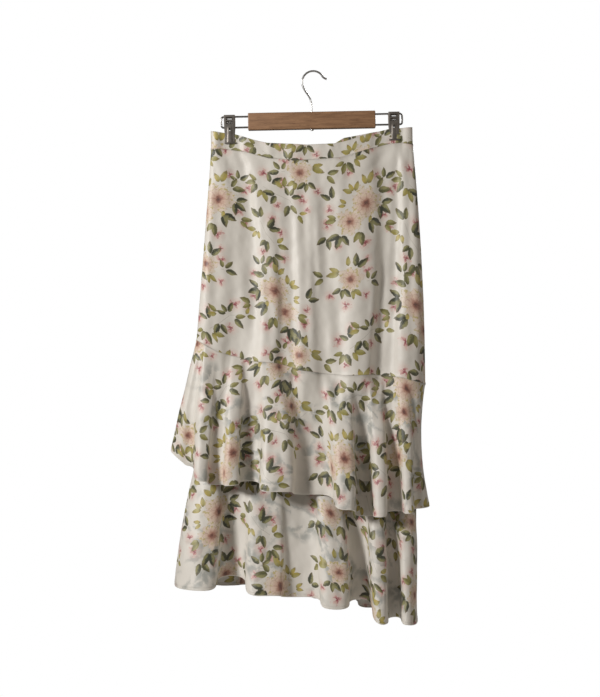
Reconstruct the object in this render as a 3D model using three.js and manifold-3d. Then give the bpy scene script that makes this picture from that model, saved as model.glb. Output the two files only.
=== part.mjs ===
// A midi skirt with two flounces, hanging by its waistband from a wooden hanger with two spring clips.
// Millimetres, +Z up. X runs to the right as the skirt faces the viewer, and its front faces -Y.
// The origin is the inside top of the hook, where the rail carries it.

import * as THREE from "three";
import { mergeVertices } from "three/addons/utils/BufferGeometryUtils.js";
import Module from "manifold-3d";

const wasm = await Module();
wasm.setup();

// Driving dimensions of the hanger
const WIRE_RADIUS = 1.7;
const FIT_GAP = 0.3;
const HOOK_RADIUS = 20;
const HOOK_CENTRE_Z = WIRE_RADIUS - HOOK_RADIUS;
const SHAFT_X = -4;
const BAR_LENGTH = 229;
const BAR_HEIGHT = 30.5;
const BAR_DEPTH = 15;
const BAR_EDGE_RADIUS = 2.5;
const BAR_TOP_Z = -72.4;
const BAR_BOTTOM_Z = BAR_TOP_Z - BAR_HEIGHT;
const NUT_RADIUS = 3.4;
const NUT_HEIGHT = 2.4;
const LOOP_WIRE_SPACING = 19.3;
const LOOP_TOP_Z = BAR_TOP_Z - (BAR_HEIGHT - LOOP_WIRE_SPACING) / 2;
const LOOP_BOTTOM_Z = LOOP_TOP_Z - LOOP_WIRE_SPACING;
const LOOP_REACH = 162.6;
const LOOP_CORNER = 4;
const LOOP_BORE_DEPTH = 26;
const CLIP_REACH = 147.8;
const CLIP_WIDTH = 19.5;
const CLIP_SHEET = 1.2;
const SADDLE_WIDTH = 16;

// Driving dimensions of the skirt
const WALL = 1.2;
const SEAM_GAP = 0.6;
const HALF_SIDE_GAP = 0.2;
const PINCHED_OUT = 1.6;
const PINCH_FLAT = 12;
const PINCH_FADE = 26;
const PINCH_BOTTOM_Z = -130;
const PINCH_END_Z = -175;
const LOWER_PANEL_INSET = 3.4;
const SOFT_FOLD = 0.35;
const FULL_FOLD = 0.95;

const CLOTH = { color: 0xd9d2c6, roughness: 0.55, metalness: 0 };
const WOOD = { color: 0x8f6a50, roughness: 0.6, metalness: 0 };
const BRIGHT_STEEL = { color: 0xb9bcc0, roughness: 0.25, metalness: 1 };
const DARK_STEEL = { color: 0x57544f, roughness: 0.35, metalness: 1 };

function table(columns, ...rows) {
  return rows.map((row) => Object.fromEntries(columns.map((name, k) => [name, row[k]])));
}

// Edge lines of the skirt, seen from the front, from the left side to the right
const BAND_TOP_FRONT = table(["x", "z"],
  [-186, -103], [-140, -110], [-115, -119], [-85, -127], [-15, -132],
  [37, -131], [64, -125], [91, -116], [132, -106], [177, -103]);
const BAND_TOP_BACK = table(["x", "z"],
  [-186, -103], [-140, -110], [-115, -121], [-86, -130], [-15, -135],
  [28, -132], [54, -118], [92, -112], [132, -106], [177, -103]);
const BAND_SEAM = table(["x", "z"],
  [-189, -136], [-161, -136], [-125, -142], [-82, -155], [-27, -160],
  [45, -157], [90, -144], [132, -133], [157, -131], [182, -136]);
const FLOUNCE_SEAM = table(["x", "z"],
  [-219, -478], [-180, -500], [-121, -518], [-76, -522], [-34, -535],
  [10, -543], [46, -547], [96, -546], [146, -552], [191, -565]);
const LOWER_SEAM = table(["x", "z"], [-211, -650], [-37, -682], [172, -729]);

// Folds of each panel, one row for each crest or trough, from the left side seam to the right.
// x is where the fold runs and out is how far it stands from the side seams' plane, at the panel's
// top, at half its length and at its lower edge. hemZ is the height of a free hem on that fold.
const PANEL_COLUMNS = ["topX", "topOut", "midX", "midOut", "hemX", "hemOut"];
const UPPER_FRONT = table(PANEL_COLUMNS,
  [-186, 0, -202, 0, -219, 0],
  [-172, 6, -185, 16, -194, 24],
  [-152, 1, -126, 7, -146, 15],
  [-112, 8, -92, 21, -92, 35],
  [-70, 10, -61, 13, -59, 21],
  [-24, 14, -27, 22, -25, 34],
  [22, 13, 2, 16, 15, 24],
  [72, 12, 80, 25, 68, 38],
  [143, 1, 127, 4, 111, 18],
  [161, 6, 159, 20, 152, 34],
  [177, 0, 189, 0, 191, 0]);
const UPPER_BACK = table(PANEL_COLUMNS,
  [-186, 0, -202, 0, -219, 0],
  [-170, 6, -178, 16, -188, 26],
  [-152, 1, -145, 8, -140, 16],
  [-100, 10, -98, 20, -88, 34],
  [-45, 11, -40, 14, -34, 22],
  [10, 13, 12, 24, 18, 38],
  [70, 11, 66, 14, 70, 20],
  [110, 8, 104, 20, 108, 32],
  [143, 1, 138, 6, 138, 16],
  [162, 6, 166, 18, 168, 30],
  [177, 0, 189, 0, 191, 0]);

const LOWER_COLUMNS = ["hemX", "hemOut"];
const LOWER_FRONT = table(LOWER_COLUMNS,
  [-211, 0], [-188, 12], [-150, 8], [-103, 14], [-62, 10], [-28, 13],
  [12, 10], [62, 13], [106, 9], [147, 12], [172, 0]);
const LOWER_BACK = table(LOWER_COLUMNS,
  [-211, 0], [-188, 12], [-150, 8], [-96, 14], [-42, 10], [14, 14],
  [62, 10], [104, 13], [132, 8], [154, 12], [172, 0]);

const FLOUNCE_COLUMNS = ["topX", "midX", "midOut", "hemX", "hemOut", "hemZ"];
const FLOUNCE_1_FRONT = table(FLOUNCE_COLUMNS,
  [-219, -245, 0, -270, 0, -677],
  [-208, -234, 22, -241, 18, -703],
  [-198, -204, 48, -213, 66, -727],
  [-168, -177, 34, -186, 38, -736],
  [-148, -154, 48, -160, 64, -736],
  [-123, -127, 26, -128, 33, -731],
  [-84, -88, 50, -94, 74, -747],
  [-20, -14, 30, -8, 38, -757],
  [35, 38, 60, 42, 84, -780],
  [72, 72, 28, 74, 34, -797],
  [102, 101, 50, 102, 74, -795],
  [126, 126, 26, 128, 30, -790],
  [150, 151, 48, 152, 64, -791],
  [173, 171, 28, 175, 24, -787],
  [191, 182, 0, 195, 0, -785]);
const FLOUNCE_1_BACK = table(FLOUNCE_COLUMNS,
  [-219, -245, 0, -270, 0, -677],
  [-196, -215, 42, -226, 60, -700],
  [-165, -178, 28, -186, 34, -716],
  [-125, -130, 50, -140, 70, -730],
  [-85, -88, 30, -90, 34, -742],
  [-45, -42, 52, -44, 76, -752],
  [0, -2, 32, -2, 40, -762],
  [40, 42, 52, 44, 72, -772],
  [80, 80, 30, 82, 34, -780],
  [118, 120, 48, 124, 68, -786],
  [150, 152, 28, 156, 30, -788],
  [172, 170, 38, 178, 46, -787],
  [191, 182, 0, 195, 0, -785]);
const FLOUNCE_2_FRONT = table(FLOUNCE_COLUMNS,
  [-211, -246, 0, -268, 0, -918],
  [-190, -208, 38, -212, 64, -919],
  [-158, -163, 14, -163, 14, -902],
  [-112, -117, 38, -115, 66, -930],
  [-38, -37, 26, -38, 40, -938],
  [14, 14, 50, 23, 80, -954],
  [66, 67, 16, 68, 14, -948],
  [99, 99, 50, 102, 80, -982],
  [125, 125, 16, 129, 16, -981],
  [149, 148, 44, 145, 66, -986],
  [172, 169, 0, 168, 0, -990]);
const FLOUNCE_2_BACK = table(FLOUNCE_COLUMNS,
  [-211, -246, 0, -268, 0, -918],
  [-190, -216, 38, -222, 58, -920],
  [-150, -166, 16, -172, 18, -924],
  [-118, -126, 38, -132, 62, -930],
  [-80, -84, 18, -86, 20, -937],
  [-42, -42, 44, -44, 68, -944],
  [0, -2, 18, -2, 22, -952],
  [42, 42, 42, 44, 66, -960],
  [82, 82, 16, 84, 18, -969],
  [120, 122, 40, 124, 60, -978],
  [148, 146, 18, 146, 18, -984],
  [172, 169, 0, 168, 0, -990]);

const part = new THREE.Group();

function add(name, geometry, look) {
  const mesh = new THREE.Mesh(geometry, new THREE.MeshStandardMaterial(look));
  mesh.name = name;
  part.add(mesh);
}

// A closed body through rings of points, all with one count. endTriangles lists one ring's cap.
function throughRings(rings, endTriangles) {
  const count = rings[0].length;
  const index = [];
  for (let r = 0; r < rings.length - 1; r += 1) {
    for (let k = 0; k < count; k += 1) {
      const a = r * count + k;
      const b = r * count + ((k + 1) % count);
      index.push(a, b, b + count, a, b + count, a + count);
    }
  }
  const last = (rings.length - 1) * count;
  for (const [a, b, c] of endTriangles) {
    index.push(a, c, b, last + a, last + b, last + c);
  }
  const points = rings.flat();
  if (signedVolume(points, index) < 0) {
    index.reverse();
  }
  const geometry = new THREE.BufferGeometry();
  const positions = points.flatMap((p) => [p.x, p.y, p.z]);
  geometry.setAttribute("position", new THREE.Float32BufferAttribute(positions, 3));
  geometry.setIndex(index);
  geometry.computeVertexNormals();
  return geometry;
}

function signedVolume(points, index) {
  let volume = 0;
  for (let k = 0; k < index.length; k += 3) {
    const [a, b, c] = [points[index[k]], points[index[k + 1]], points[index[k + 2]]];
    volume += a.dot(new THREE.Vector3().crossVectors(b, c)) / 6;
  }
  return volume;
}

// Round wire along points in the XZ plane
function wire(points, sides) {
  const rings = points.map((point, k) => {
    const before = points[Math.max(k - 1, 0)];
    const after = points[Math.min(k + 1, points.length - 1)];
    const along = new THREE.Vector3().subVectors(after, before).normalize();
    const across = new THREE.Vector3(-along.z, 0, along.x);
    return Array.from({ length: sides }, (_, side) => {
      const turn = (2 * Math.PI * side) / sides;
      return point.clone()
        .addScaledVector(across, WIRE_RADIUS * Math.cos(turn))
        .add(new THREE.Vector3(0, WIRE_RADIUS * Math.sin(turn), 0));
    });
  });
  const fan = Array.from({ length: sides - 2 }, (_, k) => [0, k + 1, k + 2]);
  return throughRings(rings, fan);
}

// An outline in the YZ plane, extruded along X about the middle
function extrudeAlongX(shape, length, middleX) {
  const geometry = new THREE.ExtrudeGeometry(shape, { depth: length, bevelEnabled: false, curveSegments: 6 });
  const turn = new THREE.Matrix4().makeBasis(
    new THREE.Vector3(0, 1, 0), new THREE.Vector3(0, 0, 1), new THREE.Vector3(1, 0, 0));
  geometry.applyMatrix4(turn);
  geometry.translate(middleX - length / 2, 0, 0);
  return geometry;
}

function toSolid(geometry) {
  const bare = geometry.clone();
  bare.deleteAttribute("normal");
  bare.deleteAttribute("uv");
  const merged = mergeVertices(bare, 1e-4);
  const vertProperties = new Float32Array(merged.attributes.position.array);
  const triVerts = new Uint32Array(merged.index.array);
  return new wasm.Manifold(new wasm.Mesh({ numProp: 3, vertProperties, triVerts }));
}

function fromSolid(solid) {
  const mesh = solid.getMesh();
  const geometry = new THREE.BufferGeometry();
  geometry.setAttribute("position", new THREE.Float32BufferAttribute(mesh.vertProperties, 3));
  geometry.setIndex(Array.from(mesh.triVerts));
  geometry.computeVertexNormals();
  return geometry;
}

// Hook: its tip flares out at the right, its arc runs over the rail, and its shaft goes down
// through the bar to a nut
function hookPath() {
  const arc = [25, 47, 69, 90, 111, 133, 156, 180, 203].map((degrees) => {
    const turn = (degrees * Math.PI) / 180;
    return [HOOK_RADIUS * Math.cos(turn), HOOK_CENTRE_Z + HOOK_RADIUS * Math.sin(turn)];
  });
  const tip = [[24.6, -13.4], [21.2, -12]];
  const neck = [[-14, -35], [-9.2, -42], [-6, -48.5], [-4.3, -56], [SHAFT_X, -63]];
  const shaft = [[SHAFT_X, BAR_TOP_Z], [SHAFT_X, BAR_BOTTOM_Z]];
  return [...tip, ...arc, ...neck, ...shaft].map(([x, z]) => new THREE.Vector3(x, 0, z));
}

add("hanger_hook", wire(hookPath(), 10), BRIGHT_STEEL);

const nut = new THREE.CylinderGeometry(NUT_RADIUS, NUT_RADIUS, NUT_HEIGHT, 16);
nut.rotateX(Math.PI / 2);
nut.translate(SHAFT_X, 0, BAR_BOTTOM_Z - FIT_GAP - NUT_HEIGHT / 2);
add("hook_nut", nut, BRIGHT_STEEL);

// Bar: wood with rounded long edges, bored for the hook and, at each end, for the loop's two wires
function barSection() {
  const y = BAR_DEPTH / 2;
  const r = BAR_EDGE_RADIUS;
  const shape = new THREE.Shape();
  shape.moveTo(-y + r, BAR_BOTTOM_Z);
  shape.lineTo(y - r, BAR_BOTTOM_Z);
  shape.quadraticCurveTo(y, BAR_BOTTOM_Z, y, BAR_BOTTOM_Z + r);
  shape.lineTo(y, BAR_TOP_Z - r);
  shape.quadraticCurveTo(y, BAR_TOP_Z, y - r, BAR_TOP_Z);
  shape.lineTo(-y + r, BAR_TOP_Z);
  shape.quadraticCurveTo(-y, BAR_TOP_Z, -y, BAR_TOP_Z - r);
  shape.lineTo(-y, BAR_BOTTOM_Z + r);
  shape.quadraticCurveTo(-y, BAR_BOTTOM_Z, -y + r, BAR_BOTTOM_Z);
  return shape;
}

function bore(length, x, z, alongX) {
  const cylinder = new THREE.CylinderGeometry(WIRE_RADIUS + FIT_GAP, WIRE_RADIUS + FIT_GAP, length, 12);
  if (alongX) {
    cylinder.rotateZ(Math.PI / 2);
  } else {
    cylinder.rotateX(Math.PI / 2);
  }
  cylinder.translate(x, 0, z);
  return toSolid(cylinder);
}

let bar = toSolid(extrudeAlongX(barSection(), BAR_LENGTH, SHAFT_X));
bar = bar.subtract(bore(2 * BAR_HEIGHT, SHAFT_X, BAR_TOP_Z, false));
for (const side of [-1, 1]) {
  for (const z of [LOOP_TOP_Z, LOOP_BOTTOM_Z]) {
    bar = bar.subtract(bore(2 * LOOP_BORE_DEPTH, SHAFT_X + (side * BAR_LENGTH) / 2, z, true));
  }
}
add("hanger_bar", fromSolid(bar), WOOD);

// Wire loops, one out of each end of the bar, with round corners
function loopPath(side) {
  const start = BAR_LENGTH / 2 - LOOP_BORE_DEPTH + 1;
  const inner = LOOP_REACH - LOOP_CORNER;
  const bend = [0, 30, 60, 90].map((degrees) => {
    const turn = (degrees * Math.PI) / 180;
    return [inner + LOOP_CORNER * Math.sin(turn), LOOP_TOP_Z - LOOP_CORNER * (1 - Math.cos(turn))];
  });
  const middleZ = (LOOP_TOP_Z + LOOP_BOTTOM_Z) / 2;
  const upper = [[start, LOOP_TOP_Z], ...bend];
  const lower = upper.map(([x, z]) => [x, 2 * middleZ - z]).reverse();
  return [...upper, ...lower].map(([x, z]) => new THREE.Vector3(SHAFT_X + side * x, 0, z));
}

// Clips: each jaw is a bent steel plate, and the saddle between them sits on the loop's two wires
const JAW_LINE = table(["y", "z"],
  [-7.4, -75.2], [-6.8, -84], [-5, -98], [-3.4, -110], [-2.8, -120], [-2.8, -126.4]);
const SADDLE_TOP_Z = -75;
const SADDLE_BOTTOM_Z = -100.5;

function jawOutline(facing) {
  const inner = JAW_LINE.map(({ y, z }) => new THREE.Vector2(facing * (y + CLIP_SHEET / 2), z));
  const outer = JAW_LINE.map(({ y, z }) => new THREE.Vector2(facing * (y - CLIP_SHEET / 2), z));
  return new THREE.Shape([...inner, ...outer.reverse()]);
}

function jawInnerY(z) {
  return -along(JAW_LINE, "z", "y", z) - CLIP_SHEET / 2;
}

function saddleOutline() {
  const top = jawInnerY(SADDLE_TOP_Z) - FIT_GAP;
  const bottom = jawInnerY(SADDLE_BOTTOM_Z) - FIT_GAP;
  const shape = new THREE.Shape([
    new THREE.Vector2(-top, SADDLE_TOP_Z),
    new THREE.Vector2(-bottom, SADDLE_BOTTOM_Z),
    new THREE.Vector2(bottom, SADDLE_BOTTOM_Z),
    new THREE.Vector2(top, SADDLE_TOP_Z),
  ]);
  for (const z of [LOOP_TOP_Z, LOOP_BOTTOM_Z]) {
    shape.holes.push(new THREE.Path().absarc(0, z, WIRE_RADIUS + FIT_GAP, 0, 2 * Math.PI));
  }
  return shape;
}

// Straight-line reading of a table: the value of one column where another column has a value
function along(rows, keyColumn, valueColumn, key) {
  const sorted = [...rows].sort((a, b) => a[keyColumn] - b[keyColumn]);
  const after = sorted.findIndex((row) => row[keyColumn] >= key);
  const k = after < 0 ? sorted.length - 1 : Math.max(after, 1);
  const [a, b] = [sorted[k - 1], sorted[k]];
  const share = THREE.MathUtils.clamp((key - a[keyColumn]) / (b[keyColumn] - a[keyColumn]), 0, 1);
  return THREE.MathUtils.lerp(a[valueColumn], b[valueColumn], share);
}

for (const [word, side] of [["left", -1], ["right", 1]]) {
  const clipX = SHAFT_X + side * CLIP_REACH;
  add(`wire_loop_${word}`, wire(loopPath(side), 8), DARK_STEEL);
  add(`clip_${word}_saddle`, extrudeAlongX(saddleOutline(), SADDLE_WIDTH, clipX), DARK_STEEL);
  add(`clip_${word}_front_jaw`, extrudeAlongX(jawOutline(1), CLIP_WIDTH, clipX), DARK_STEEL);
  add(`clip_${word}_back_jaw`, extrudeAlongX(jawOutline(-1), CLIP_WIDTH, clipX), DARK_STEEL);
}

// Cloth: a line across a panel at one height is read between its folds. place runs from 0 at the
// left side seam to the number of stretches. The cloth rounds over at each side seam.
function across(rows, xColumn, outColumn, place, fullness) {
  const stretch = Math.min(Math.floor(place), rows.length - 2);
  const t = place - stretch;
  const [a, b] = [rows[stretch], rows[stretch + 1]];
  let shareX = t + (fullness * Math.sin(2 * Math.PI * t)) / (2 * Math.PI);
  let shareOut = (1 - Math.cos(Math.PI * t)) / 2;
  let shareZ = shareOut;
  if (stretch === 0) {
    shareX = shareZ = 1 - Math.cos((Math.PI * t) / 2);
    shareOut = Math.sin((Math.PI * t) / 2);
  } else if (stretch === rows.length - 2) {
    shareX = shareZ = Math.sin((Math.PI * t) / 2);
    shareOut = 1 - Math.cos((Math.PI * t) / 2);
  }
  return {
    x: THREE.MathUtils.lerp(a[xColumn], b[xColumn], shareX),
    out: THREE.MathUtils.lerp(a[outColumn] ?? 0, b[outColumn] ?? 0, shareOut),
    z: THREE.MathUtils.lerp(a.hemZ ?? 0, b.hemZ ?? 0, shareZ),
  };
}

// The curve through three points of a fold: at the top, at half its length and at its end
function through(top, mid, end, v) {
  const shares = [2 * (v - 0.5) * (v - 1), 4 * v * (1 - v), 2 * v * (v - 0.5)];
  const sum = (key) => shares[0] * top[key] + shares[1] * mid[key] + shares[2] * end[key];
  return { x: sum("x"), out: sum("out"), z: sum("z") };
}

// The clips press the cloth flat, and the pinch fades out beside and below them
function pinched(point) {
  const reach = Math.abs(Math.abs(point.x - SHAFT_X) - CLIP_REACH);
  const beside = 1 - THREE.MathUtils.smoothstep(reach, PINCH_FLAT, PINCH_FADE);
  const below = THREE.MathUtils.smoothstep(point.z, PINCH_END_Z, PINCH_BOTTOM_Z);
  return { ...point, out: THREE.MathUtils.lerp(point.out, PINCHED_OUT, beside * below) };
}

function upperPoint(folds, place, v) {
  const top = across(folds, "topX", "topOut", place, SOFT_FOLD);
  const mid = across(folds, "midX", "midOut", place, SOFT_FOLD);
  const end = across(folds, "hemX", "hemOut", place, SOFT_FOLD);
  top.z = along(BAND_SEAM, "x", "z", top.x);
  end.z = along(FLOUNCE_SEAM, "x", "z", end.x);
  mid.z = (top.z + end.z) / 2;
  return pinched(through(top, mid, end, v));
}

function bandPoint(folds, edge, place, v) {
  const line = across(folds, "topX", "topOut", place, SOFT_FOLD);
  const topZ = along(edge, "x", "z", line.x);
  const seamZ = along(BAND_SEAM, "x", "z", line.x) + SEAM_GAP;
  return pinched({ x: line.x, out: line.out, z: THREE.MathUtils.lerp(topZ, seamZ, v) });
}

// The place on a carrying panel's lower edge that has this x
function placeAt(edgeAt, stretches, x) {
  let [low, high] = [0, stretches];
  for (let k = 0; k < 30; k += 1) {
    const middle = (low + high) / 2;
    if (edgeAt(middle).x < x) {
      low = middle;
    } else {
      high = middle;
    }
  }
  return (low + high) / 2;
}

// A flounce hangs from the lower edge of the panel that carries it, so its table has no topOut
function flouncePoint(folds, edgeAt, stretches, place, v) {
  const seam = across(folds, "topX", null, place, SOFT_FOLD);
  const top = edgeAt(placeAt(edgeAt, stretches, seam.x));
  const end = across(folds, "hemX", "hemOut", place, FULL_FOLD);
  const mid = across(folds, "midX", "midOut", place, FULL_FOLD);
  mid.z = (top.z + end.z) / 2;
  return through({ ...top, z: top.z - SEAM_GAP }, mid, end, v);
}

// The lower panel starts just inside the top of the first flounce and draws in below it
function lowerPoint(folds, upperFolds, place, v) {
  const step = 0.01;
  const last = upperFolds.length - 1;
  const edge = upperPoint(upperFolds, place, 1);
  const before = upperPoint(upperFolds, Math.max(place - step, 0), 1);
  const after = upperPoint(upperFolds, Math.min(place + step, last), 1);
  const length = Math.hypot(after.x - before.x, after.out - before.out);
  const top = {
    x: edge.x + (LOWER_PANEL_INSET * (after.out - before.out)) / length,
    out: edge.out - (LOWER_PANEL_INSET * (after.x - before.x)) / length,
    z: edge.z - SEAM_GAP,
  };
  const end = across(folds, "hemX", "hemOut", place, SOFT_FOLD);
  end.z = along(LOWER_SEAM, "x", "z", end.x);
  const drawn = 1 - (1 - v) ** 2;
  return {
    x: THREE.MathUtils.lerp(top.x, end.x, drawn),
    out: Math.max(THREE.MathUtils.lerp(top.out, end.out, drawn), 0),
    z: THREE.MathUtils.lerp(top.z, end.z, v),
  };
}

// A wall of cloth: the outer face follows the panel, and the inner face lies one wall inside it
function clothWall(pointAt, stretches, columns, rows, facing) {
  const at = (place, v) => {
    const p = pointAt(place, v);
    return new THREE.Vector3(p.x, facing * (p.out + HALF_SIDE_GAP), p.z);
  };
  const step = 0.02;
  const inward = (place, v) => {
    const sideways = new THREE.Vector3().subVectors(
      at(Math.min(place + step, stretches), v), at(Math.max(place - step, 0), v));
    const upward = new THREE.Vector3().subVectors(
      at(place, Math.max(v - step, 0)), at(place, Math.min(v + step, 1)));
    return new THREE.Vector3().crossVectors(sideways, upward).multiplyScalar(facing).normalize();
  };
  const rings = [];
  for (let r = 0; r <= rows; r += 1) {
    const places = Array.from({ length: columns + 1 }, (_, c) => (c * stretches) / columns);
    const outer = places.map((place) => at(place, r / rows));
    const inner = places.map((place, c) =>
      outer[c].clone().addScaledVector(inward(place, r / rows), WALL));
    rings.push([...outer, ...inner.reverse()]);
  }
  const strip = [];
  for (let c = 0; c < columns; c += 1) {
    const opposite = 2 * columns + 1 - c;
    strip.push([c, c + 1, opposite - 1], [c, opposite - 1, opposite]);
  }
  return throughRings(rings, strip);
}

const SIDES = [
  { word: "front", facing: -1, edge: BAND_TOP_FRONT, upper: UPPER_FRONT, lower: LOWER_FRONT,
    flounce1: FLOUNCE_1_FRONT, flounce2: FLOUNCE_2_FRONT },
  { word: "back", facing: 1, edge: BAND_TOP_BACK, upper: UPPER_BACK, lower: LOWER_BACK,
    flounce1: FLOUNCE_1_BACK, flounce2: FLOUNCE_2_BACK },
];

for (const { word, facing, edge, upper, lower, flounce1, flounce2 } of SIDES) {
  const stretches = upper.length - 1;
  const seam1At = (place) => upperPoint(upper, place, 1);
  const seam2At = (place) => lowerPoint(lower, upper, place, 1);
  const panels = [
    { name: "waistband", count: stretches, each: 4, rows: 2,
      pointAt: (place, v) => bandPoint(upper, edge, place, v) },
    { name: "upper_panel", count: stretches, each: 4, rows: 7,
      pointAt: (place, v) => upperPoint(upper, place, v) },
    { name: "lower_panel", count: stretches, each: 3, rows: 3,
      pointAt: (place, v) => lowerPoint(lower, upper, place, v) },
    { name: "flounce_1", count: flounce1.length - 1, each: 4, rows: 6,
      pointAt: (place, v) => flouncePoint(flounce1, seam1At, stretches, place, v) },
    { name: "flounce_2", count: flounce2.length - 1, each: 4, rows: 6,
      pointAt: (place, v) => flouncePoint(flounce2, seam2At, stretches, place, v) },
  ];
  for (const { name, count, each, rows, pointAt } of panels) {
    add(`${word}_${name}`, clothWall(pointAt, count, count * each, rows, facing), CLOTH);
  }
}

export default part;
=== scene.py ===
import math

import bpy
import numpy as np
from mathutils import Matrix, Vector


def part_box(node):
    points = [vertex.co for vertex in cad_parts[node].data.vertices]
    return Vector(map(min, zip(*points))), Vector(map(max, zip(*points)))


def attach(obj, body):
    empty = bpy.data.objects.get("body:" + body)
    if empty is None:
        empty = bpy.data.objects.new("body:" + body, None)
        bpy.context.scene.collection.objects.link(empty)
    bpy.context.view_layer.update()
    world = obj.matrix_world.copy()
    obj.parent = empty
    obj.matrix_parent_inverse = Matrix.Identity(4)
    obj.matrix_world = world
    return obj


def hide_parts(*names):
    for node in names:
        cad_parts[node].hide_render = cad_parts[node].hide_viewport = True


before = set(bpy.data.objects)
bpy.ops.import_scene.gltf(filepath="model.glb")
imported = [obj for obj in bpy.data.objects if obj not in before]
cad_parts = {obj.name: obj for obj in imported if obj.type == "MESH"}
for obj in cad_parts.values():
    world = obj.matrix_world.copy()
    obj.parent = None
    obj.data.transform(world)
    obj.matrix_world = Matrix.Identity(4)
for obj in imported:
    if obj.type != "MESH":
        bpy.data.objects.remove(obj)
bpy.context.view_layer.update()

# Hook of the hanger
# Real piece: bright steel wire, 3.4 mm thick, bent round the rail, with its tip turned out.
# Its shaft goes down through the bar and is held there by a small nut.
MM = 0.001
WIRE_RADIUS = 1.7 * MM
HOOK_RADIUS = 20 * MM
HOOK_CENTRE_Z = WIRE_RADIUS - HOOK_RADIUS
HOOK_TIP = [(24.6, -13.4), (21.2, -12)]
HOOK_TURNS = (25, 47, 69, 90, 111, 133, 156, 180, 203)
HOOK_NECK = [(-14, -35), (-9.2, -42), (-6, -48.5), (-4.3, -56), (-4, -63)]
SHAFT_X = -4 * MM
bar_low, bar_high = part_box("hanger_bar")


def choose(obj):
    """Selects one object alone and makes it active."""
    bpy.ops.object.select_all(action="DESELECT")
    obj.select_set(True)
    bpy.context.view_layer.objects.active = obj


def into_scene(name, data):
    obj = bpy.data.objects.new(name, data)
    bpy.context.scene.collection.objects.link(obj)
    return obj


def edit(obj, *steps):
    """Runs edit-mode steps on the whole of one mesh."""
    choose(obj)
    bpy.ops.object.mode_set(mode="EDIT")
    bpy.ops.mesh.select_all(action="SELECT")
    for step in steps:
        step()
    bpy.ops.object.mode_set(mode="OBJECT")


def merge_doubles():
    bpy.ops.mesh.remove_doubles(threshold=1e-6)


def face_outwards():
    bpy.ops.mesh.normals_make_consistent(inside=False)


def smooth_below(degrees):
    """Shades the chosen piece smooth, apart from edges sharper than this."""
    bpy.ops.object.shade_smooth_by_angle(angle=math.radians(degrees))


def wire_piece(name, points, radius, round_steps=5):
    """A round wire along points, closed at both ends, as a mesh."""
    curve = bpy.data.curves.new(name, "CURVE")
    curve.dimensions = "3D"
    curve.bevel_depth = radius
    curve.bevel_resolution = round_steps
    curve.resolution_u = 6
    curve.use_fill_caps = True
    spline = curve.splines.new("BEZIER")
    spline.bezier_points.add(len(points) - 1)
    for knot, point in zip(spline.bezier_points, points):
        knot.co = point
        knot.handle_left_type = knot.handle_right_type = "AUTO"
    choose(into_scene(name, curve))
    bpy.ops.object.convert(target="MESH")
    wire = bpy.context.view_layer.objects.active
    edit(wire, merge_doubles, face_outwards)
    smooth_below(50)
    return wire


class Value:
    """What a node puts out. Each sign between two values, or a value and a number, is a math node."""

    def __init__(self, net, socket):
        self.net, self.socket = net, socket

    def __add__(self, other):
        return self.net.math("ADD", self, other)

    def __sub__(self, other):
        return self.net.math("SUBTRACT", self, other)

    def __rsub__(self, other):
        return self.net.math("SUBTRACT", other, self)

    def __mul__(self, other):
        return self.net.math("MULTIPLY", self, other)

    def __abs__(self):
        return self.net.math("ABSOLUTE", self)


class Net:
    """Short calls for the nodes of one node tree."""

    def __init__(self, tree):
        self.nodes, self.link = tree.nodes, tree.links.new

    def feed(self, socket, value):
        """Gives an input a number or a colour, or links another node's output to it."""
        value = value.socket if isinstance(value, Value) else value
        if isinstance(value, bpy.types.NodeSocket):
            self.link(value, socket)
        else:
            socket.default_value = value

    def fill(self, node, **inputs):
        """Feeds inputs by name. An underscore stands for a space."""
        for name, value in inputs.items():
            self.feed(node.inputs[name.replace("_", " ")], value)

    def add(self, kind, settings=None, **inputs):
        """A new node. Its settings come first, since its inputs depend on them."""
        node = self.nodes.new("ShaderNode" + kind)
        for name, value in (settings or {}).items():
            setattr(node, name, value)
        self.fill(node, **inputs)
        return node

    def math(self, operation, *values):
        node = self.add("Math", {"operation": operation})
        for socket, value in zip(node.inputs, values):
            self.feed(socket, value)
        return Value(self, node.outputs[0])

    def cosine(self, value):
        return self.math("COSINE", value)

    def soft_step(self, value, low, high, top=1.0):
        """Rises softly from 0 at low to top at high."""
        node = self.add("MapRange", {"interpolation_type": "SMOOTHSTEP"},
                        Value=value, From_Min=low, From_Max=high, To_Max=top)
        return Value(self, node.outputs["Result"])

    def mix(self, share, under, over, blend="MIX"):
        under, over = [(*c, 1) if isinstance(c, tuple) else c for c in (under, over)]
        settings = {"data_type": "RGBA", "blend_type": blend}
        return self.add("Mix", settings, Factor=share, A=under, B=over).outputs["Result"]

    def ramp(self, value, *stops):
        """Colours by value, between stops of a position and a colour."""
        node = self.add("ValToRGB", Fac=value)
        elements = node.color_ramp.elements
        while len(elements) < len(stops):
            elements.new(0.5)
        for element, (position, colour) in zip(elements, stops):
            element.position = position
            element.color = (*colour, 1)
        return node.outputs["Color"]

    def noise(self, place, scale, detail, **more):
        node = self.add("TexNoise", Vector=place, Scale=scale, Detail=detail, **more)
        return Value(self, node.outputs["Fac"])

    def parts(self, vector):
        return [Value(self, socket) for socket in self.add("SeparateXYZ", Vector=vector).outputs]


def new_look(name):
    """A new material: (material, its Principled shader, its net)."""
    material = bpy.data.materials.new(name)
    material.use_nodes = True
    net = Net(material.node_tree)
    return material, net.nodes["Principled BSDF"], net


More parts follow.
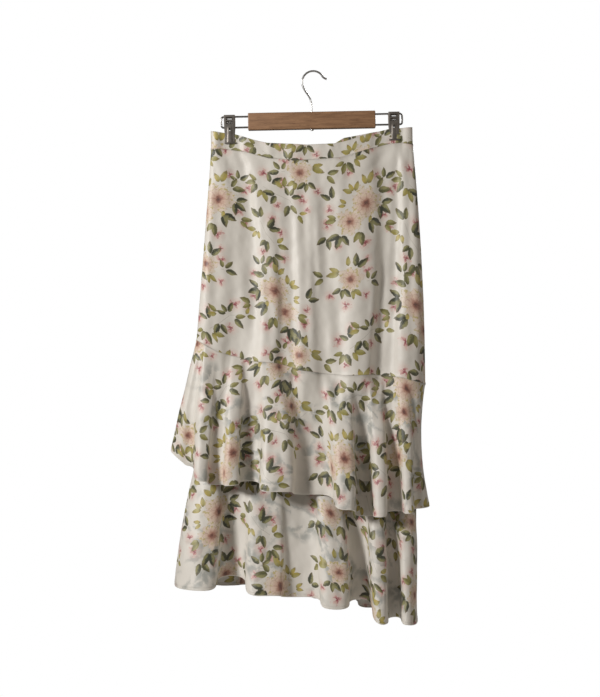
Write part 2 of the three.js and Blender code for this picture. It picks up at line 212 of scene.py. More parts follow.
def node_group(name, inputs, outputs):
    """A new node group: (group, its net, what goes into it, what comes out of it)."""
    group = bpy.data.node_groups.new(name, "ShaderNodeTree")
    for way, sockets in (("INPUT", inputs), ("OUTPUT", outputs)):
        for socket, kind in sockets.items():
            group.interface.new_socket(socket, in_out=way, socket_type=f"NodeSocket{kind}")
    given, result = group.nodes.new("NodeGroupInput"), group.nodes.new("NodeGroupOutput")
    return group, Net(group), given.outputs, result.inputs


def brushed_group():
    """Fine drawn lines and small worn patches for steel: grain and wear from 0 to 1."""
    group, net, given, result = node_group(
        "drawn steel", {"Scale": "Float"}, {"Grain": "Float", "Wear": "Float"})
    place = net.add("TexCoord").outputs["Object"]
    net.feed(result["Grain"], net.noise(place, given["Scale"], 6))
    net.feed(result["Wear"], net.noise(place, 90, 4))
    return group


STEEL_GRAIN = brushed_group()


def steel(name, light, dark, rough, rougher, grain_scale):
    """Steel whose tone and gloss change a little over the surface."""
    material, shader, net = new_look(name)
    grain = net.add("Group", {"node_tree": STEEL_GRAIN}, Scale=grain_scale)
    gloss = net.add("MapRange", Value=grain.outputs["Grain"], From_Min=0.3, From_Max=0.7,
                    To_Min=rough, To_Max=rougher)
    net.fill(shader, Base_Color=net.mix(grain.outputs["Wear"], dark, light),
             Roughness=gloss.outputs["Result"], Metallic=1)
    return material


HOOK_STEEL = steel("bright hook wire", (0.72, 0.72, 0.71), (0.50, 0.50, 0.50), 0.24, 0.40, 900)


def hook_points():
    tip, neck = [[(x * MM, 0, z * MM) for x, z in row] for row in (HOOK_TIP, HOOK_NECK)]
    turns = [math.radians(a) for a in HOOK_TURNS]
    arc = [(HOOK_RADIUS * math.cos(a), 0, HOOK_CENTRE_Z + HOOK_RADIUS * math.sin(a)) for a in turns]
    return tip + arc + neck + [(SHAFT_X, 0, bar_high.z), (SHAFT_X, 0, bar_low.z)]


def dress(piece, slot, node, *materials):
    """The piece rides with the hanger, stands for this solid and takes this finish."""
    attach(piece, "root")
    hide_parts(node)
    piece.data.materials.clear()
    for material in materials:
        piece.data.materials.append(material)


hook = wire_piece("hook_wire", hook_points(), WIRE_RADIUS)
dress(hook, "hook_steel", "hanger_hook", HOOK_STEEL)

# Nut under the bar
# Real piece: a small turned steel nut with a rounded underside, run up to the wood on the shaft.
NUT_ROUNDING = 0.6 * MM
nut_low, nut_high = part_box("hook_nut")


def primitive(add, name, scale=(1, 1, 1), **sizes):
    """A primitive mesh with its place, turn and scale in its mesh."""
    bpy.ops.object.select_all(action="DESELECT")
    add(**sizes)
    piece = bpy.context.object
    piece.name = name
    piece.scale = scale
    choose(piece)
    bpy.ops.object.transform_apply(location=True, rotation=True, scale=True)
    return piece


def bevel(piece, width, segments):
    """Rounds the edges that are sharper than 30 degrees."""
    choose(piece)
    rounding = piece.modifiers.new("rounding", "BEVEL")
    rounding.width = width
    rounding.segments = segments
    rounding.limit_method = "ANGLE"
    rounding.angle_limit = math.radians(30)
    bpy.ops.object.modifier_apply(modifier=rounding.name)
    smooth_below(35)


nut = primitive(
    bpy.ops.mesh.primitive_cylinder_add, "hook_nut_turned", vertices=32,
    radius=(nut_high.x - nut_low.x) / 2, depth=nut_high.z - nut_low.z,
    location=(nut_low + nut_high) / 2)
bevel(nut, NUT_ROUNDING, 3)
dress(nut, "hook_steel", "hook_nut", HOOK_STEEL)

# Wooden bar
# Real piece: a planed batten of mid-brown hardwood, its long edges rounded and thinly lacquered.
# It is bored down its middle for the hook and, at each end, for the wires of the clip loops.
BAR_ROUNDING = 1.6 * MM
bar = primitive(bpy.ops.mesh.primitive_cube_add, "bar_batten", bar_high - bar_low, size=1,
                location=(bar_low + bar_high) / 2)
bevel(bar, BAR_ROUNDING, 4)


def wood():
    """Straight-grained wood: long soft streaks, fine dark pores and a slow change of tone."""
    material, shader, net = new_look("lacquered batten wood")
    place = net.add("TexCoord").outputs["Object"]
    streak_place = net.add("Mapping", Vector=place, Scale=(7, 60, 60)).outputs["Vector"]
    streaks = net.noise(streak_place, 4, 7, Roughness=0.62, Distortion=0.6)
    tones = net.ramp(streaks, (0.28, (0.222, 0.118, 0.061)), (0.5, (0.320, 0.174, 0.092)),
                     (0.72, (0.412, 0.231, 0.124)))
    pore_place = net.add("Mapping", Vector=place, Scale=(60, 900, 900)).outputs["Vector"]
    pores = net.add("MapRange", Value=net.noise(pore_place, 1.6, 3), From_Min=0.60, From_Max=0.72)
    pores = pores.outputs["Result"]
    relief = net.add("Bump", {"invert": True}, Strength=0.25, Distance=0.2 * MM, Height=pores)
    net.fill(shader, Base_Color=net.mix(pores, tones, (0.55, 0.48, 0.42), "MULTIPLY"),
             Normal=relief.outputs["Normal"], Roughness=0.46, Coat_Weight=0.12, Coat_Roughness=0.35)
    return material


dress(bar, "bar_wood", "hanger_bar", wood())

# Wire loops at the bar's ends
# Real piece: one length of drawn steel wire at each end, bent to a flat loop whose two legs are
# pushed into the bar's bores. The clips slide along it.
LOOP_CORNER = 4 * MM
LEG_IN_BORE = 25 * MM
CLIP_STEEL = steel("dull clip steel", (0.36, 0.33, 0.30), (0.16, 0.145, 0.13), 0.46, 0.62, 1200)
LOOP_STEEL = steel("drawn loop wire", (0.46, 0.45, 0.44), (0.25, 0.24, 0.23), 0.24, 0.42, 1200)


def loop_points(word, side):
    low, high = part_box(f"wire_loop_{word}")
    top, bottom = high.z - WIRE_RADIUS, low.z + WIRE_RADIUS
    end = (high.x if side > 0 else low.x) - side * WIRE_RADIUS
    start = (bar_high.x if side > 0 else bar_low.x) - side * LEG_IN_BORE
    bend = [math.radians(a) for a in (0, 22.5, 45, 67.5, 90)]
    upper = [(start, 0, top), ((start + end) / 2, 0, top)]
    upper += [(end - side * LOOP_CORNER * (1 - math.sin(a)), 0, top - LOOP_CORNER * (1 - math.cos(a)))
              for a in bend]
    lower = [(x, y, top + bottom - z) for x, y, z in reversed(upper)]
    return upper + lower


ENDS = (("left", -1), ("right", 1))
for word, side in ENDS:
    loop = wire_piece(f"loop_wire_{word}", loop_points(word, side), WIRE_RADIUS)
    dress(loop, "clip_steel", f"wire_loop_{word}", LOOP_STEEL)

# Clips
# Real piece: two pressed steel jaws, each with a row of slots, a teardrop hole, a raised rib and a
# rolled lip, that pivot on a saddle folded over the loop's wires. A coil spring shuts the lips.
JAW_LINE = [(-7.4, -75.2), (-6.8, -84), (-5, -98), (-3.4, -110), (-2.8, -120), (-2.8, -126.4)]
JAW_COLUMNS, JAW_ROWS = 19, 51
JAW_SHEET = 0.96 * MM
JAW_RIB = 1.1 * MM
RIB_FROM, RIB_HALF, RIB_FLARE = 0.38, 0.34, 0.25
JAW_FLANK, FLANK_FROM = 1.2 * MM, 0.86
JAW_WAIST, WAIST_AT, WAIST_SPAN = 0.90, 0.72, 0.2
JAW_SLOTS = (0.10, 0.165, 0.23, 0.295)
SLOT_HALF = 0.02
LIP_RADIUS = 1.5 * MM
SADDLE_SHEET = 0.9 * MM
SADDLE_SINK = 0.8 * MM
SADDLE_REACH, SADDLE_CORNER, CORNER_SHARE = 4.4 * MM, 3 * MM, 0.3
SPRING_RADIUS = 2.4 * MM
SPRING_DROP = 3.4 * MM
SPRING_WIRE = 0.65 * MM
SPRING_TURNS, STEPS_A_TURN = 7, 8


def jaw_y(z):
    """How far the jaw's middle line stands from the clip's middle at this height."""
    outs, heights = zip(*[(-y * MM, -height * MM) for y, height in JAW_LINE])
    return float(np.interp(-z, heights, outs))


def jaw_hole(across, down):
    """True inside the openings of a pressed jaw. across runs from -1 to 1 and down from 0 to 1."""
    slots = abs(across) < 0.7 and any(abs(down - slot) < SLOT_HALF for slot in JAW_SLOTS)
    teardrop = math.hypot(across / 0.2, (down - 0.5) / 0.055) < 1
    return slots or teardrop


def cut_faces(piece, chosen):
    """Removes the faces whose middle passes the test."""
    choose(piece)
    bpy.ops.object.mode_set(mode="EDIT")
    bpy.ops.mesh.select_mode(type="FACE")
    bpy.ops.mesh.select_all(action="DESELECT")
    bpy.ops.object.mode_set(mode="OBJECT")
    for face in piece.data.polygons:
        face.select = chosen(face.center)
    bpy.ops.object.mode_set(mode="EDIT")
    bpy.ops.mesh.delete(type="FACE")
    bpy.ops.object.mode_set(mode="OBJECT")


def thicken(piece, thickness, offset, material_offset=0):
    """Turns a sheet into a wall."""
    choose(piece)
    wall = piece.modifiers.new("wall", "SOLIDIFY")
    wall.thickness = thickness
    wall.offset = offset
    wall.material_offset = material_offset
    bpy.ops.object.modifier_apply(modifier=wall.name)


def join(piece, other):
    choose(piece)
    other.select_set(True)
    bpy.ops.object.join()


def make_jaw(word, face, facing):
    """One pressed jaw. facing is -1 for the front jaw and 1 for the back one."""
    low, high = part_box(f"clip_{word}_{face}_jaw")
    width, height, middle_x = high.x - low.x, high.z - low.z, (low.x + high.x) / 2

    def shares(at):
        return (at.x - middle_x) / (width / 2), (high.z - at.z) / height

    jaw = primitive(
        bpy.ops.mesh.primitive_grid_add, f"jaw_{word}_{face}", (width, height, 1),
        x_subdivisions=JAW_COLUMNS, y_subdivisions=JAW_ROWS, size=1, rotation=(math.pi / 2, 0, 0),
        location=(middle_x, 0, (low.z + high.z) / 2))
    cut_faces(jaw, lambda at: jaw_hole(*shares(at)))
    for vertex in jaw.data.vertices:
        across, down = shares(vertex.co)
        rib = max(0.0, 1 - (abs(across) / (RIB_HALF + RIB_FLARE * down)) ** 4)
        rib *= min(1, max(0, (down - RIB_FROM) * 6))
        flank = max(0.0, abs(across) - FLANK_FROM) / (1 - FLANK_FROM)
        stand = jaw_y(vertex.co.z) + JAW_RIB * (rib - 0.5) - JAW_FLANK * flank ** 2
        narrow = 1 - (1 - JAW_WAIST) * math.exp(-(((down - WAIST_AT) / WAIST_SPAN) ** 2))
        vertex.co.x = middle_x + (vertex.co.x - middle_x) * narrow
        vertex.co.y = facing * stand
    edit(jaw, face_outwards)
    thicken(jaw, JAW_SHEET, 0)
    lip = primitive(
        bpy.ops.mesh.primitive_cylinder_add, "lip", vertices=20, radius=LIP_RADIUS,
        depth=width * 0.98, rotation=(0, math.pi / 2, 0),
        location=(middle_x, facing * (jaw_y(low.z) + LIP_RADIUS * 0.75), low.z + LIP_RADIUS * 0.9))
    bevel(lip, 0.4 * MM, 2)
    join(jaw, lip)
    smooth_below(40)
    return jaw


def make_saddle(word):
    """Folded strip over the loop's wires, with the coil spring on its pin."""
    low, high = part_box(f"clip_{word}_saddle")
    half, middle_x = (high.x - low.x) / 2, (low.x + high.x) / 2
    strip = primitive(
        bpy.ops.mesh.primitive_grid_add, f"saddle_{word}", (2 * half, 1, 1),
        x_subdivisions=4, y_subdivisions=24, size=1, location=(middle_x, 0, 0))
    cut_faces(strip, lambda at: abs(at.x - middle_x) < 0.55 * half and 0.17 < abs(at.y) < 0.45)
    leg = high.z - low.z - SADDLE_CORNER
    for vertex in strip.data.vertices:
        t = vertex.co.y * 2
        turn = min(abs(t) / CORNER_SHARE, 1) * math.pi / 2
        down = max((abs(t) - CORNER_SHARE) / (1 - CORNER_SHARE), 0)
        z = high.z - SADDLE_SINK - SADDLE_CORNER * (1 - math.cos(turn)) - leg * down
        reach = SADDLE_REACH * math.sin(turn) + (0.4 * MM) * down - 1.6 * MM * down ** 2
        vertex.co.y, vertex.co.z = math.copysign(reach, t) if t else 0.0, z
    thicken(strip, SADDLE_SHEET, -1)
    smooth_below(40)
    centre_z = (high.z + low.z) / 2 - SPRING_DROP
    steps, coil = SPRING_TURNS * STEPS_A_TURN, []
    for step in range(steps + 1):
        turn = 2 * math.pi * step / STEPS_A_TURN
        x = middle_x + half * 0.8 * (2 * step / steps - 1)
        coil.append((x, SPRING_RADIUS * math.sin(turn), centre_z + SPRING_RADIUS * math.cos(turn)))
    join(strip, wire_piece(f"spring_{word}", coil, SPRING_WIRE, 2))
    return strip


for word, _ in ENDS:
    for face, facing in (("front", -1), ("back", 1)):
        dress(make_jaw(word, face, facing), "clip_steel", f"clip_{word}_{face}_jaw", CLIP_STEEL)
    dress(make_saddle(word), "clip_steel", f"clip_{word}_saddle", CLIP_STEEL)

# Cloth of the skirt
# Real piece: thin ivory weave with a soft sheen and a printed pattern of flowering twigs. Its
# wrong side shows the print faintly. Every panel below is cut from it.
# The tables are in millimetres. A row is one fold of a panel: its x at the top, half-way down and
# at the hem, how far out it stands there and, on a flounce, the height of its hem.
SEAM_GAP = 0.15 * MM
CLOTH_THICKNESS, BAND_THICKNESS = 0.5 * MM, 0.9 * MM
SPACING = 3.2 * MM
SOFT_FOLD, FLUTE_FOLD, FULL_FOLD = 0.35, 0.7, 0.95
CLIP_REACH = 147.8 * MM
PINCHED_OUT = 1.6 * MM
PINCH_FLAT, PINCH_FADE = 12 * MM, 26 * MM
PINCH_BOTTOM_Z, PINCH_END_Z = -130 * MM, -175 * MM
LOWER_PANEL_INSET = 3.4 * MM
HEM_TURN = 5 * MM
HEM_STEP = 0.35 * MM
HEM_ROLL = 0.8 * MM
SEAM_DIP, SEAM_REACH = 0.9 * MM, 2.6 * MM
SEAM_ROWS, AFTER_SEAM = np.array([0, 0.8, 1.7, 2.8, 4.2]), 6.5
HEM_ROWS, BEFORE_HEM = np.array([7.5, 6, 5.4, 5, 3.4, 2.2, 1.6, 1.1, 0.5, 0]), 10.5
OFF_MIDDLE = 0.05 * MM
CALM_BY_SIDE = 14 * MM
COLUMNS_AT = 0.85


def table(columns, *rows):
    """A small table with named columns, its millimetres turned to metres."""
    return {name: np.array([row[k] for row in rows]) * MM for k, name in enumerate(columns.split())}


BAND_TOP = {
    "front": table("x z", (-186, -103), (-140, -110), (-115, -119), (-85, -127), (-15, -132),
                   (37, -131), (64, -125), (91, -116), (132, -106), (177, -103)),
    "back": table("x z", (-186, -103), (-140, -110), (-115, -121), (-86, -130), (-15, -135),
                  (28, -132), (54, -118), (92, -112), (132, -106), (177, -103)),
}
BAND_SEAM = table("x z", (-189, -136), (-161, -136), (-125, -142), (-82, -155), (-27, -160),
                  (45, -157), (90, -144), (132, -133), (157, -131), (182, -136))
FLOUNCE_SEAM = table("x z", (-219, -478), (-180, -500), (-121, -518), (-76, -522), (-34, -535),
                     (10, -543), (46, -547), (96, -546), (146, -552), (191, -565))
LOWER_SEAM = table("x z", (-211, -650), (-37, -682), (172, -729))
UPPER = {
    "front": table(
        "topX topOut midX midOut hemX hemOut",
        (-186, 0, -202, 0, -219, 0), (-172, 6, -185, 16, -194, 24), (-152, 1, -122, 6, -144, 15),
        (-112, 8, -84, 21, -87, 35), (-70, 10, -56, 13, -57, 21), (-24, 14, -22, 22, -22, 34),
        (22, 13, 6, 16, 18, 24), (72, 12, 89, 25, 72, 38), (143, 1, 129, 4, 113, 18),
        (161, 6, 166, 20, 156, 34), (177, 0, 189, 0, 191, 0)),
    "back": table(
        "topX topOut midX midOut hemX hemOut",
        (-186, 0, -202, 0, -219, 0), (-170, 6, -178, 16, -188, 26), (-152, 1, -145, 8, -140, 16),
        (-100, 10, -98, 20, -88, 34), (-45, 11, -40, 14, -34, 22), (10, 13, 12, 24, 18, 38),
        (70, 11, 66, 14, 70, 20), (110, 8, 104, 20, 108, 32), (143, 1, 138, 6, 138, 16),
        (162, 6, 166, 18, 168, 30), (177, 0, 189, 0, 191, 0)),
}
LOWER = {
    "front": table("hemX hemOut", (-211, 0), (-188, 12), (-150, 8), (-103, 14), (-62, 10),
                   (-28, 13), (12, 10), (62, 13), (106, 9), (147, 12), (172, 0)),
    "back": table("hemX hemOut", (-211, 0), (-188, 12), (-150, 8), (-96, 14), (-42, 10),
                  (14, 14), (62, 10), (104, 13), (132, 8), (154, 12), (172, 0)),
}
FLOUNCE_1 = {
    "front": table(
        "topX midX midOut hemX hemOut hemZ",
        (-219, -245, 0, -270, 0, -677), (-208, -234, 22, -241, 18, -703),
        (-198, -204, 48, -213, 66, -727), (-168, -177, 34, -186, 38, -736),
        (-148, -154, 48, -160, 64, -736), (-123, -127, 26, -128, 33, -731),
        (-84, -82, 50, -92, 74, -747), (-20, -10, 28, -6, 36, -757), (35, 44, 60, 44, 84, -780),
        (72, 76, 28, 76, 34, -797), (102, 102, 50, 103, 74, -795), (126, 128, 26, 128, 30, -790),
        (150, 154, 48, 153, 64, -791), (173, 173, 28, 176, 24, -787), (191, 182, 0, 195, 0, -785)),
    "back": table(
        "topX midX midOut hemX hemOut hemZ",
        (-219, -245, 0, -270, 0, -677), (-196, -215, 42, -226, 60, -700),
        (-165, -178, 28, -186, 34, -716), (-125, -130, 50, -140, 70, -730),
        (-85, -88, 30, -90, 34, -742), (-45, -42, 52, -44, 76, -752), (0, -2, 32, -2, 40, -762),
        (40, 42, 52, 44, 72, -772), (80, 80, 30, 82, 34, -780), (118, 120, 48, 124, 68, -786),
        (150, 152, 28, 156, 30, -788), (172, 170, 38, 178, 46, -787), (191, 182, 0, 195, 0, -785)),
}
FLOUNCE_2 = {
    "front": table(
        "topX midX midOut hemX hemOut hemZ",
        (-211, -246, 0, -268, 0, -918), (-190, -204, 40, -210, 66, -919),
        (-158, -160, 14, -162, 14, -902), (-112, -108, 38, -113, 66, -930),
        (-38, -32, 26, -36, 38, -938), (14, 20, 50, 24, 80, -954), (66, 69, 16, 68, 14, -948),
        (99, 100, 50, 102, 80, -982), (125, 125, 16, 129, 16, -981), (149, 148, 44, 145, 66, -986),
        (172, 169, 0, 168, 0, -990)),
    "back": table(
        "topX midX midOut hemX hemOut hemZ",
        (-211, -246, 0, -268, 0, -918), (-190, -216, 38, -222, 58, -920),
        (-150, -166, 16, -172, 18, -924), (-118, -126, 38, -132, 62, -930),
        (-80, -84, 18, -86, 20, -937), (-42, -42, 44, -44, 68, -944), (0, -2, 18, -2, 22, -952),
        (42, 42, 42, 44, 66, -960), (82, 82, 16, 84, 18, -969), (120, 122, 40, 124, 60, -978),
        (148, 146, 18, 146, 18, -984), (172, 169, 0, 168, 0, -990)),
}


def across(rows, x_column, out_column, place, fullness):
    """Reads a line across a panel between its folds: x, out and the height of a free hem."""
    last = len(rows[x_column]) - 2
    stretch = np.clip(np.floor(place).astype(int), 0, last)
    t = place - stretch
    share_x = t + fullness * np.sin(2 * np.pi * t) / (2 * np.pi)
    share_out = (1 - np.cos(np.pi * t)) / 2
    rise, round_over = 1 - np.cos(np.pi * t / 2), np.sin(np.pi * t / 2)
    share_z = np.where(stretch == 0, rise, np.where(stretch == last, round_over, share_out))
    share_x = np.where(stretch == 0, rise, np.where(stretch == last, round_over, share_x))
    share_out = np.where(stretch == 0, round_over, np.where(stretch == last, rise, share_out))

    def between(column, share):
        if column not in rows:
            return np.zeros_like(place)
        return rows[column][stretch] * (1 - share) + rows[column][stretch + 1] * share

    return between(x_column, share_x), between(out_column, share_out), between("hemZ", share_z)


def through(top, mid, end, v):
    """The curve through three points of a fold: at its top, half-way down and at its end."""
    shares = 2 * (v - 0.5) * (v - 1), 4 * v * (1 - v), 2 * v * (v - 0.5)
    return [shares[0] * a + shares[1] * b + shares[2] * c for a, b, c in zip(top, mid, end)]


def smooth_step(value, low, high):
    t = np.clip((value - low) / (high - low), 0, 1)
    return t * t * (3 - 2 * t)


def pinched(x, out, z):
    """The clips press the cloth flat, and the pinch fades out beside and below them."""
    reach = np.abs(np.abs(x - SHAFT_X) - CLIP_REACH)
    press = (1 - smooth_step(reach, PINCH_FLAT, PINCH_FADE)) * smooth_step(z, PINCH_END_Z, PINCH_BOTTOM_Z)
    return x, out + (PINCHED_OUT - out) * press, z


def read(rows, x):
    return np.interp(x, rows["x"], rows["z"])


def upper_point(side, place, v):
    top, mid, end = [list(across(UPPER[side], f"{row}X", f"{row}Out", place, SOFT_FOLD))
                     for row in ("top", "mid", "hem")]
    top[2], end[2] = read(BAND_SEAM, top[0]), read(FLOUNCE_SEAM, end[0])
    mid[2] = (top[2] + end[2]) / 2
    return pinched(*through(top, mid, end, v))


def band_point(side, place, v):
    x, out, _ = across(UPPER[side], "topX", "topOut", place, SOFT_FOLD)
    top, seam = read(BAND_TOP[side], x), read(BAND_SEAM, x) + SEAM_GAP
    return pinched(x, out, top + (seam - top) * v)


def lower_point(side, place, v):
    step, last = 0.01, len(UPPER[side]["topX"]) - 1
    one = np.ones_like(place)
    edge = upper_point(side, place, one)
    before = upper_point(side, np.maximum(place - step, 0), one)
    after = upper_point(side, np.minimum(place + step, last), one)
    length = np.hypot(after[0] - before[0], after[1] - before[1])
    top_x = edge[0] + LOWER_PANEL_INSET * (after[1] - before[1]) / length
    top_out = edge[1] - LOWER_PANEL_INSET * (after[0] - before[0]) / length
    end_x, end_out, _ = across(LOWER[side], "hemX", "hemOut", place, SOFT_FOLD)
    top_z, end_z = edge[2] - SEAM_GAP, read(LOWER_SEAM, end_x)
    drawn = 1 - (1 - v) ** 2
    out = np.maximum(top_out + (end_out - top_out) * drawn, 0)
    return top_x + (end_x - top_x) * drawn, out, top_z + (end_z - top_z) * v


def on_edge(edge_point, side, stretches, x):
    """The points of a carrying panel's lower edge that have these x."""
    places = np.linspace(0, stretches, 1601)
    edge = edge_point(side, places, np.ones_like(places))
    rising = np.maximum.accumulate(edge[0])
    return x, np.interp(x, rising, edge[1]), np.interp(x, rising, edge[2])


def flounce_point(folds, edge_point, side, place, v):
    seam_x = across(folds, "topX", "", place, SOFT_FOLD)[0]
    x, out, z = on_edge(edge_point, side, len(UPPER[side]["topX"]) - 1, seam_x)
    top = x, out, z - SEAM_GAP
    end = across(folds, "hemX", "hemOut", place, FULL_FOLD)
    mid = list(across(folds, "midX", "midOut", place, FLUTE_FOLD))
    mid[2] = (top[2] + end[2]) / 2
    return through(top, mid, end, v)


def panel_columns(point, side, stretches, v):
    """Places across a panel, evenly spaced by length along the cloth at share v of its height."""
    fine = np.linspace(0, stretches, 2401)
    x, out, _ = point(side, fine, np.full_like(fine, v))
    run = np.concatenate([[0], np.cumsum(np.hypot(np.diff(x), np.diff(out)))])
    count = int(math.ceil(run[-1] / SPACING))
    return np.interp(np.linspace(0, run[-1], count + 1), run, fine)


def path_lengths(points, axis):
    """Running length along one direction of a grid of points."""
    steps = np.linalg.norm(np.diff(points, axis=axis), axis=2)
    return np.insert(np.cumsum(steps, axis=axis), 0, 0, axis=axis)


def outward(points, facing):
    """Unit normals of a grid of points, turned away from the skirt's middle."""
    sideways = np.gradient(points, axis=1)
    downward = np.gradient(points, axis=0)
    normal = np.cross(sideways, downward) * -facing
    return normal / np.linalg.norm(normal, axis=2, keepdims=True)


def creases(points, rows):
    """Height of the listed soft ridges and troughs. A row is the x and z where the crease starts,
    the x and z where it fades out, its half width and its height, in millimetres."""
    height = np.zeros(points.shape[:2])
    x, z = points[:, :, 0] / MM, points[:, :, 2] / MM
    for x1, z1, x2, z2, width, rise in rows:
        length = math.hypot(x2 - x1, z2 - z1)
        way_x, way_z = (x2 - x1) / length, (z2 - z1) / length
        on = ((x - (x1 + x2) / 2) * way_x + (z - (z1 + z2) / 2) * way_z) / (length / 2)
        off = ((x - x1) * way_z - (z - z1) * way_x) / width
        height += rise * MM * np.exp(-off ** 2 - np.abs(on) ** 4)
    return height


def ripple(points, waves):
    """Low uneven waves over the cloth. A wave is its length, lean, height and start."""
    height = np.zeros(points.shape[:2])
    for length, lean, rise, start in waves:
        turn = math.radians(lean)
        way = (points[:, :, 0] * math.cos(turn) - points[:, :, 2] * math.sin(turn)) / MM
        height += rise * MM * np.sin(2 * math.pi * way / length + start)
    return height


SOFT_WAVES = [(97, 12, 0.9, 0.4), (61, -21, 0.5, 2.1), (41, 34, 0.28, 4.0), (29, -8, 0.22, 1.3),
              (173, 71, 0.7, 5.2), (83, 98, 0.35, 0.9)]
FINE_WAVES = [(17, 9, 0.10, 0.3), (13, -26, 0.08, 2.7), (21, 52, 0.09, 4.4), (9, 15, 0.04, 1.8)]


def mesh_from_grid(name, points, flat):
    """A quad mesh over a grid of points, with the place of each on the cut cloth as its UV map."""
    rows, columns = points.shape[:2]
    number = np.arange(rows * columns).reshape(rows, columns)
    corners = [number[1:, :-1], number[1:, 1:], number[:-1, 1:], number[:-1, :-1]]
    quads = np.stack(corners, axis=2).reshape(-1, 4)
    mesh = bpy.data.meshes.new(name)
    mesh.from_pydata(points.reshape(-1, 3).tolist(), [], quads.tolist())
    layer = mesh.uv_layers.new(name="cut")
    layer.data.foreach_set("uv", flat.reshape(-1, 2)[quads.ravel()].ravel())
    return into_scene(name, mesh)


def make_cloth(name, side, point, stretches, rows, details, thickness, turned_hem, top_dip, uv_start):
    """One panel of the skirt as a thin shell: (piece, cut width, cut length, cut area)."""
    facing = -1 if side == "front" else 1
    place, v = np.meshgrid(panel_columns(point, side, stretches, COLUMNS_AT), rows)
    x, out, z = point(side, place, v)
    points = np.stack([x, facing * (out + OFF_MIDDLE), z], axis=2)
    length = float(path_lengths(points, 0)[-1].mean())
    arcs = path_lengths(points, 1)
    top, hem = float(arcs[0, -1]), float(arcs[-1, -1])
    spread = max((hem - top) / length, 1e-4)
    radius = top / spread + v * length
    angle = (arcs / arcs[:, -1:] - 0.5) * spread
    flat = np.stack([-facing * radius * np.sin(angle), top / spread - radius * np.cos(angle)], axis=2)
    flat = flat + np.array(uv_start) * MM
    from_top, from_hem = v * length, (1 - v) * length
    calm = smooth_step(np.minimum(arcs, arcs[:, -1:] - arcs), 0, CALM_BY_SIDE)
    rise = (creases(points, details) + ripple(points, SOFT_WAVES) + ripple(points, FINE_WAVES)) * calm
    rise = rise - top_dip * np.exp(-(from_top / SEAM_REACH) ** 2)
    # Painted shade: the edge value falls below zero within 2 mm of a panel's top edge and, where there is
    # no turned hem, of its lower edge, darkening the cloth there.
    shade = -(1 - smooth_step(from_top, 0.4 * MM, 2.0 * MM))
    if turned_hem:
        rise = rise + HEM_STEP * (1 - smooth_step(from_hem, HEM_TURN, HEM_TURN + 0.4 * MM))
        rise = rise + HEM_ROLL * (1 - smooth_step(from_hem, 0.5 * MM, 1.7 * MM))
        # Painted highlight: the edge value rises above zero along a turned hem, lightening its rolled edge
        # as if it caught the light.
        shade = shade + 1 - smooth_step(from_hem, 1.0 * MM, 2.2 * MM)
    else:
        rise = rise - SEAM_DIP * np.exp(-(from_hem / SEAM_REACH) ** 2)
        shade = shade - (1 - smooth_step(from_hem, 0.4 * MM, 2.0 * MM))
    points = points + outward(points, facing) * rise[:, :, None]
    points[:, :, 1] = facing * np.maximum(facing * points[:, :, 1], OFF_MIDDLE)
    piece = mesh_from_grid(name, points, flat)
    # These edge values carry the painted highlight and painted shade of the edges to the material.
    piece.data.attributes.new("edge_highlight_and_shade", "FLOAT", "POINT").data.foreach_set("value", shade.ravel())
    if facing > 0:
        edit(piece, bpy.ops.mesh.flip_normals)
    thicken(piece, thickness, -1, 1)
    bpy.ops.object.shade_smooth()
    return piece, max(top, hem), length, length * (top + hem) / 2


def panel_rows(count, length, turned_hem):
    """Shares of a panel's height: even ones, and close ones at a seam and at a turned hem."""
    seam = SEAM_ROWS * MM / length
    if turned_hem:
        even = np.linspace(AFTER_SEAM * MM / length, 1 - BEFORE_HEM * MM / length, count - 5)
        return np.concatenate([seam, even, 1 - HEM_ROWS * MM / length])
    even = np.linspace(AFTER_SEAM * MM / length, 1 - AFTER_SEAM * MM / length, count - 3)
    return np.concatenate([seam, even, 1 - seam[::-1]])


REPEAT = np.array([270.0, 340.0])
LEAF, BLOSSOM, BLOOM, STALK = range(4)
LEAF_START = 4.2

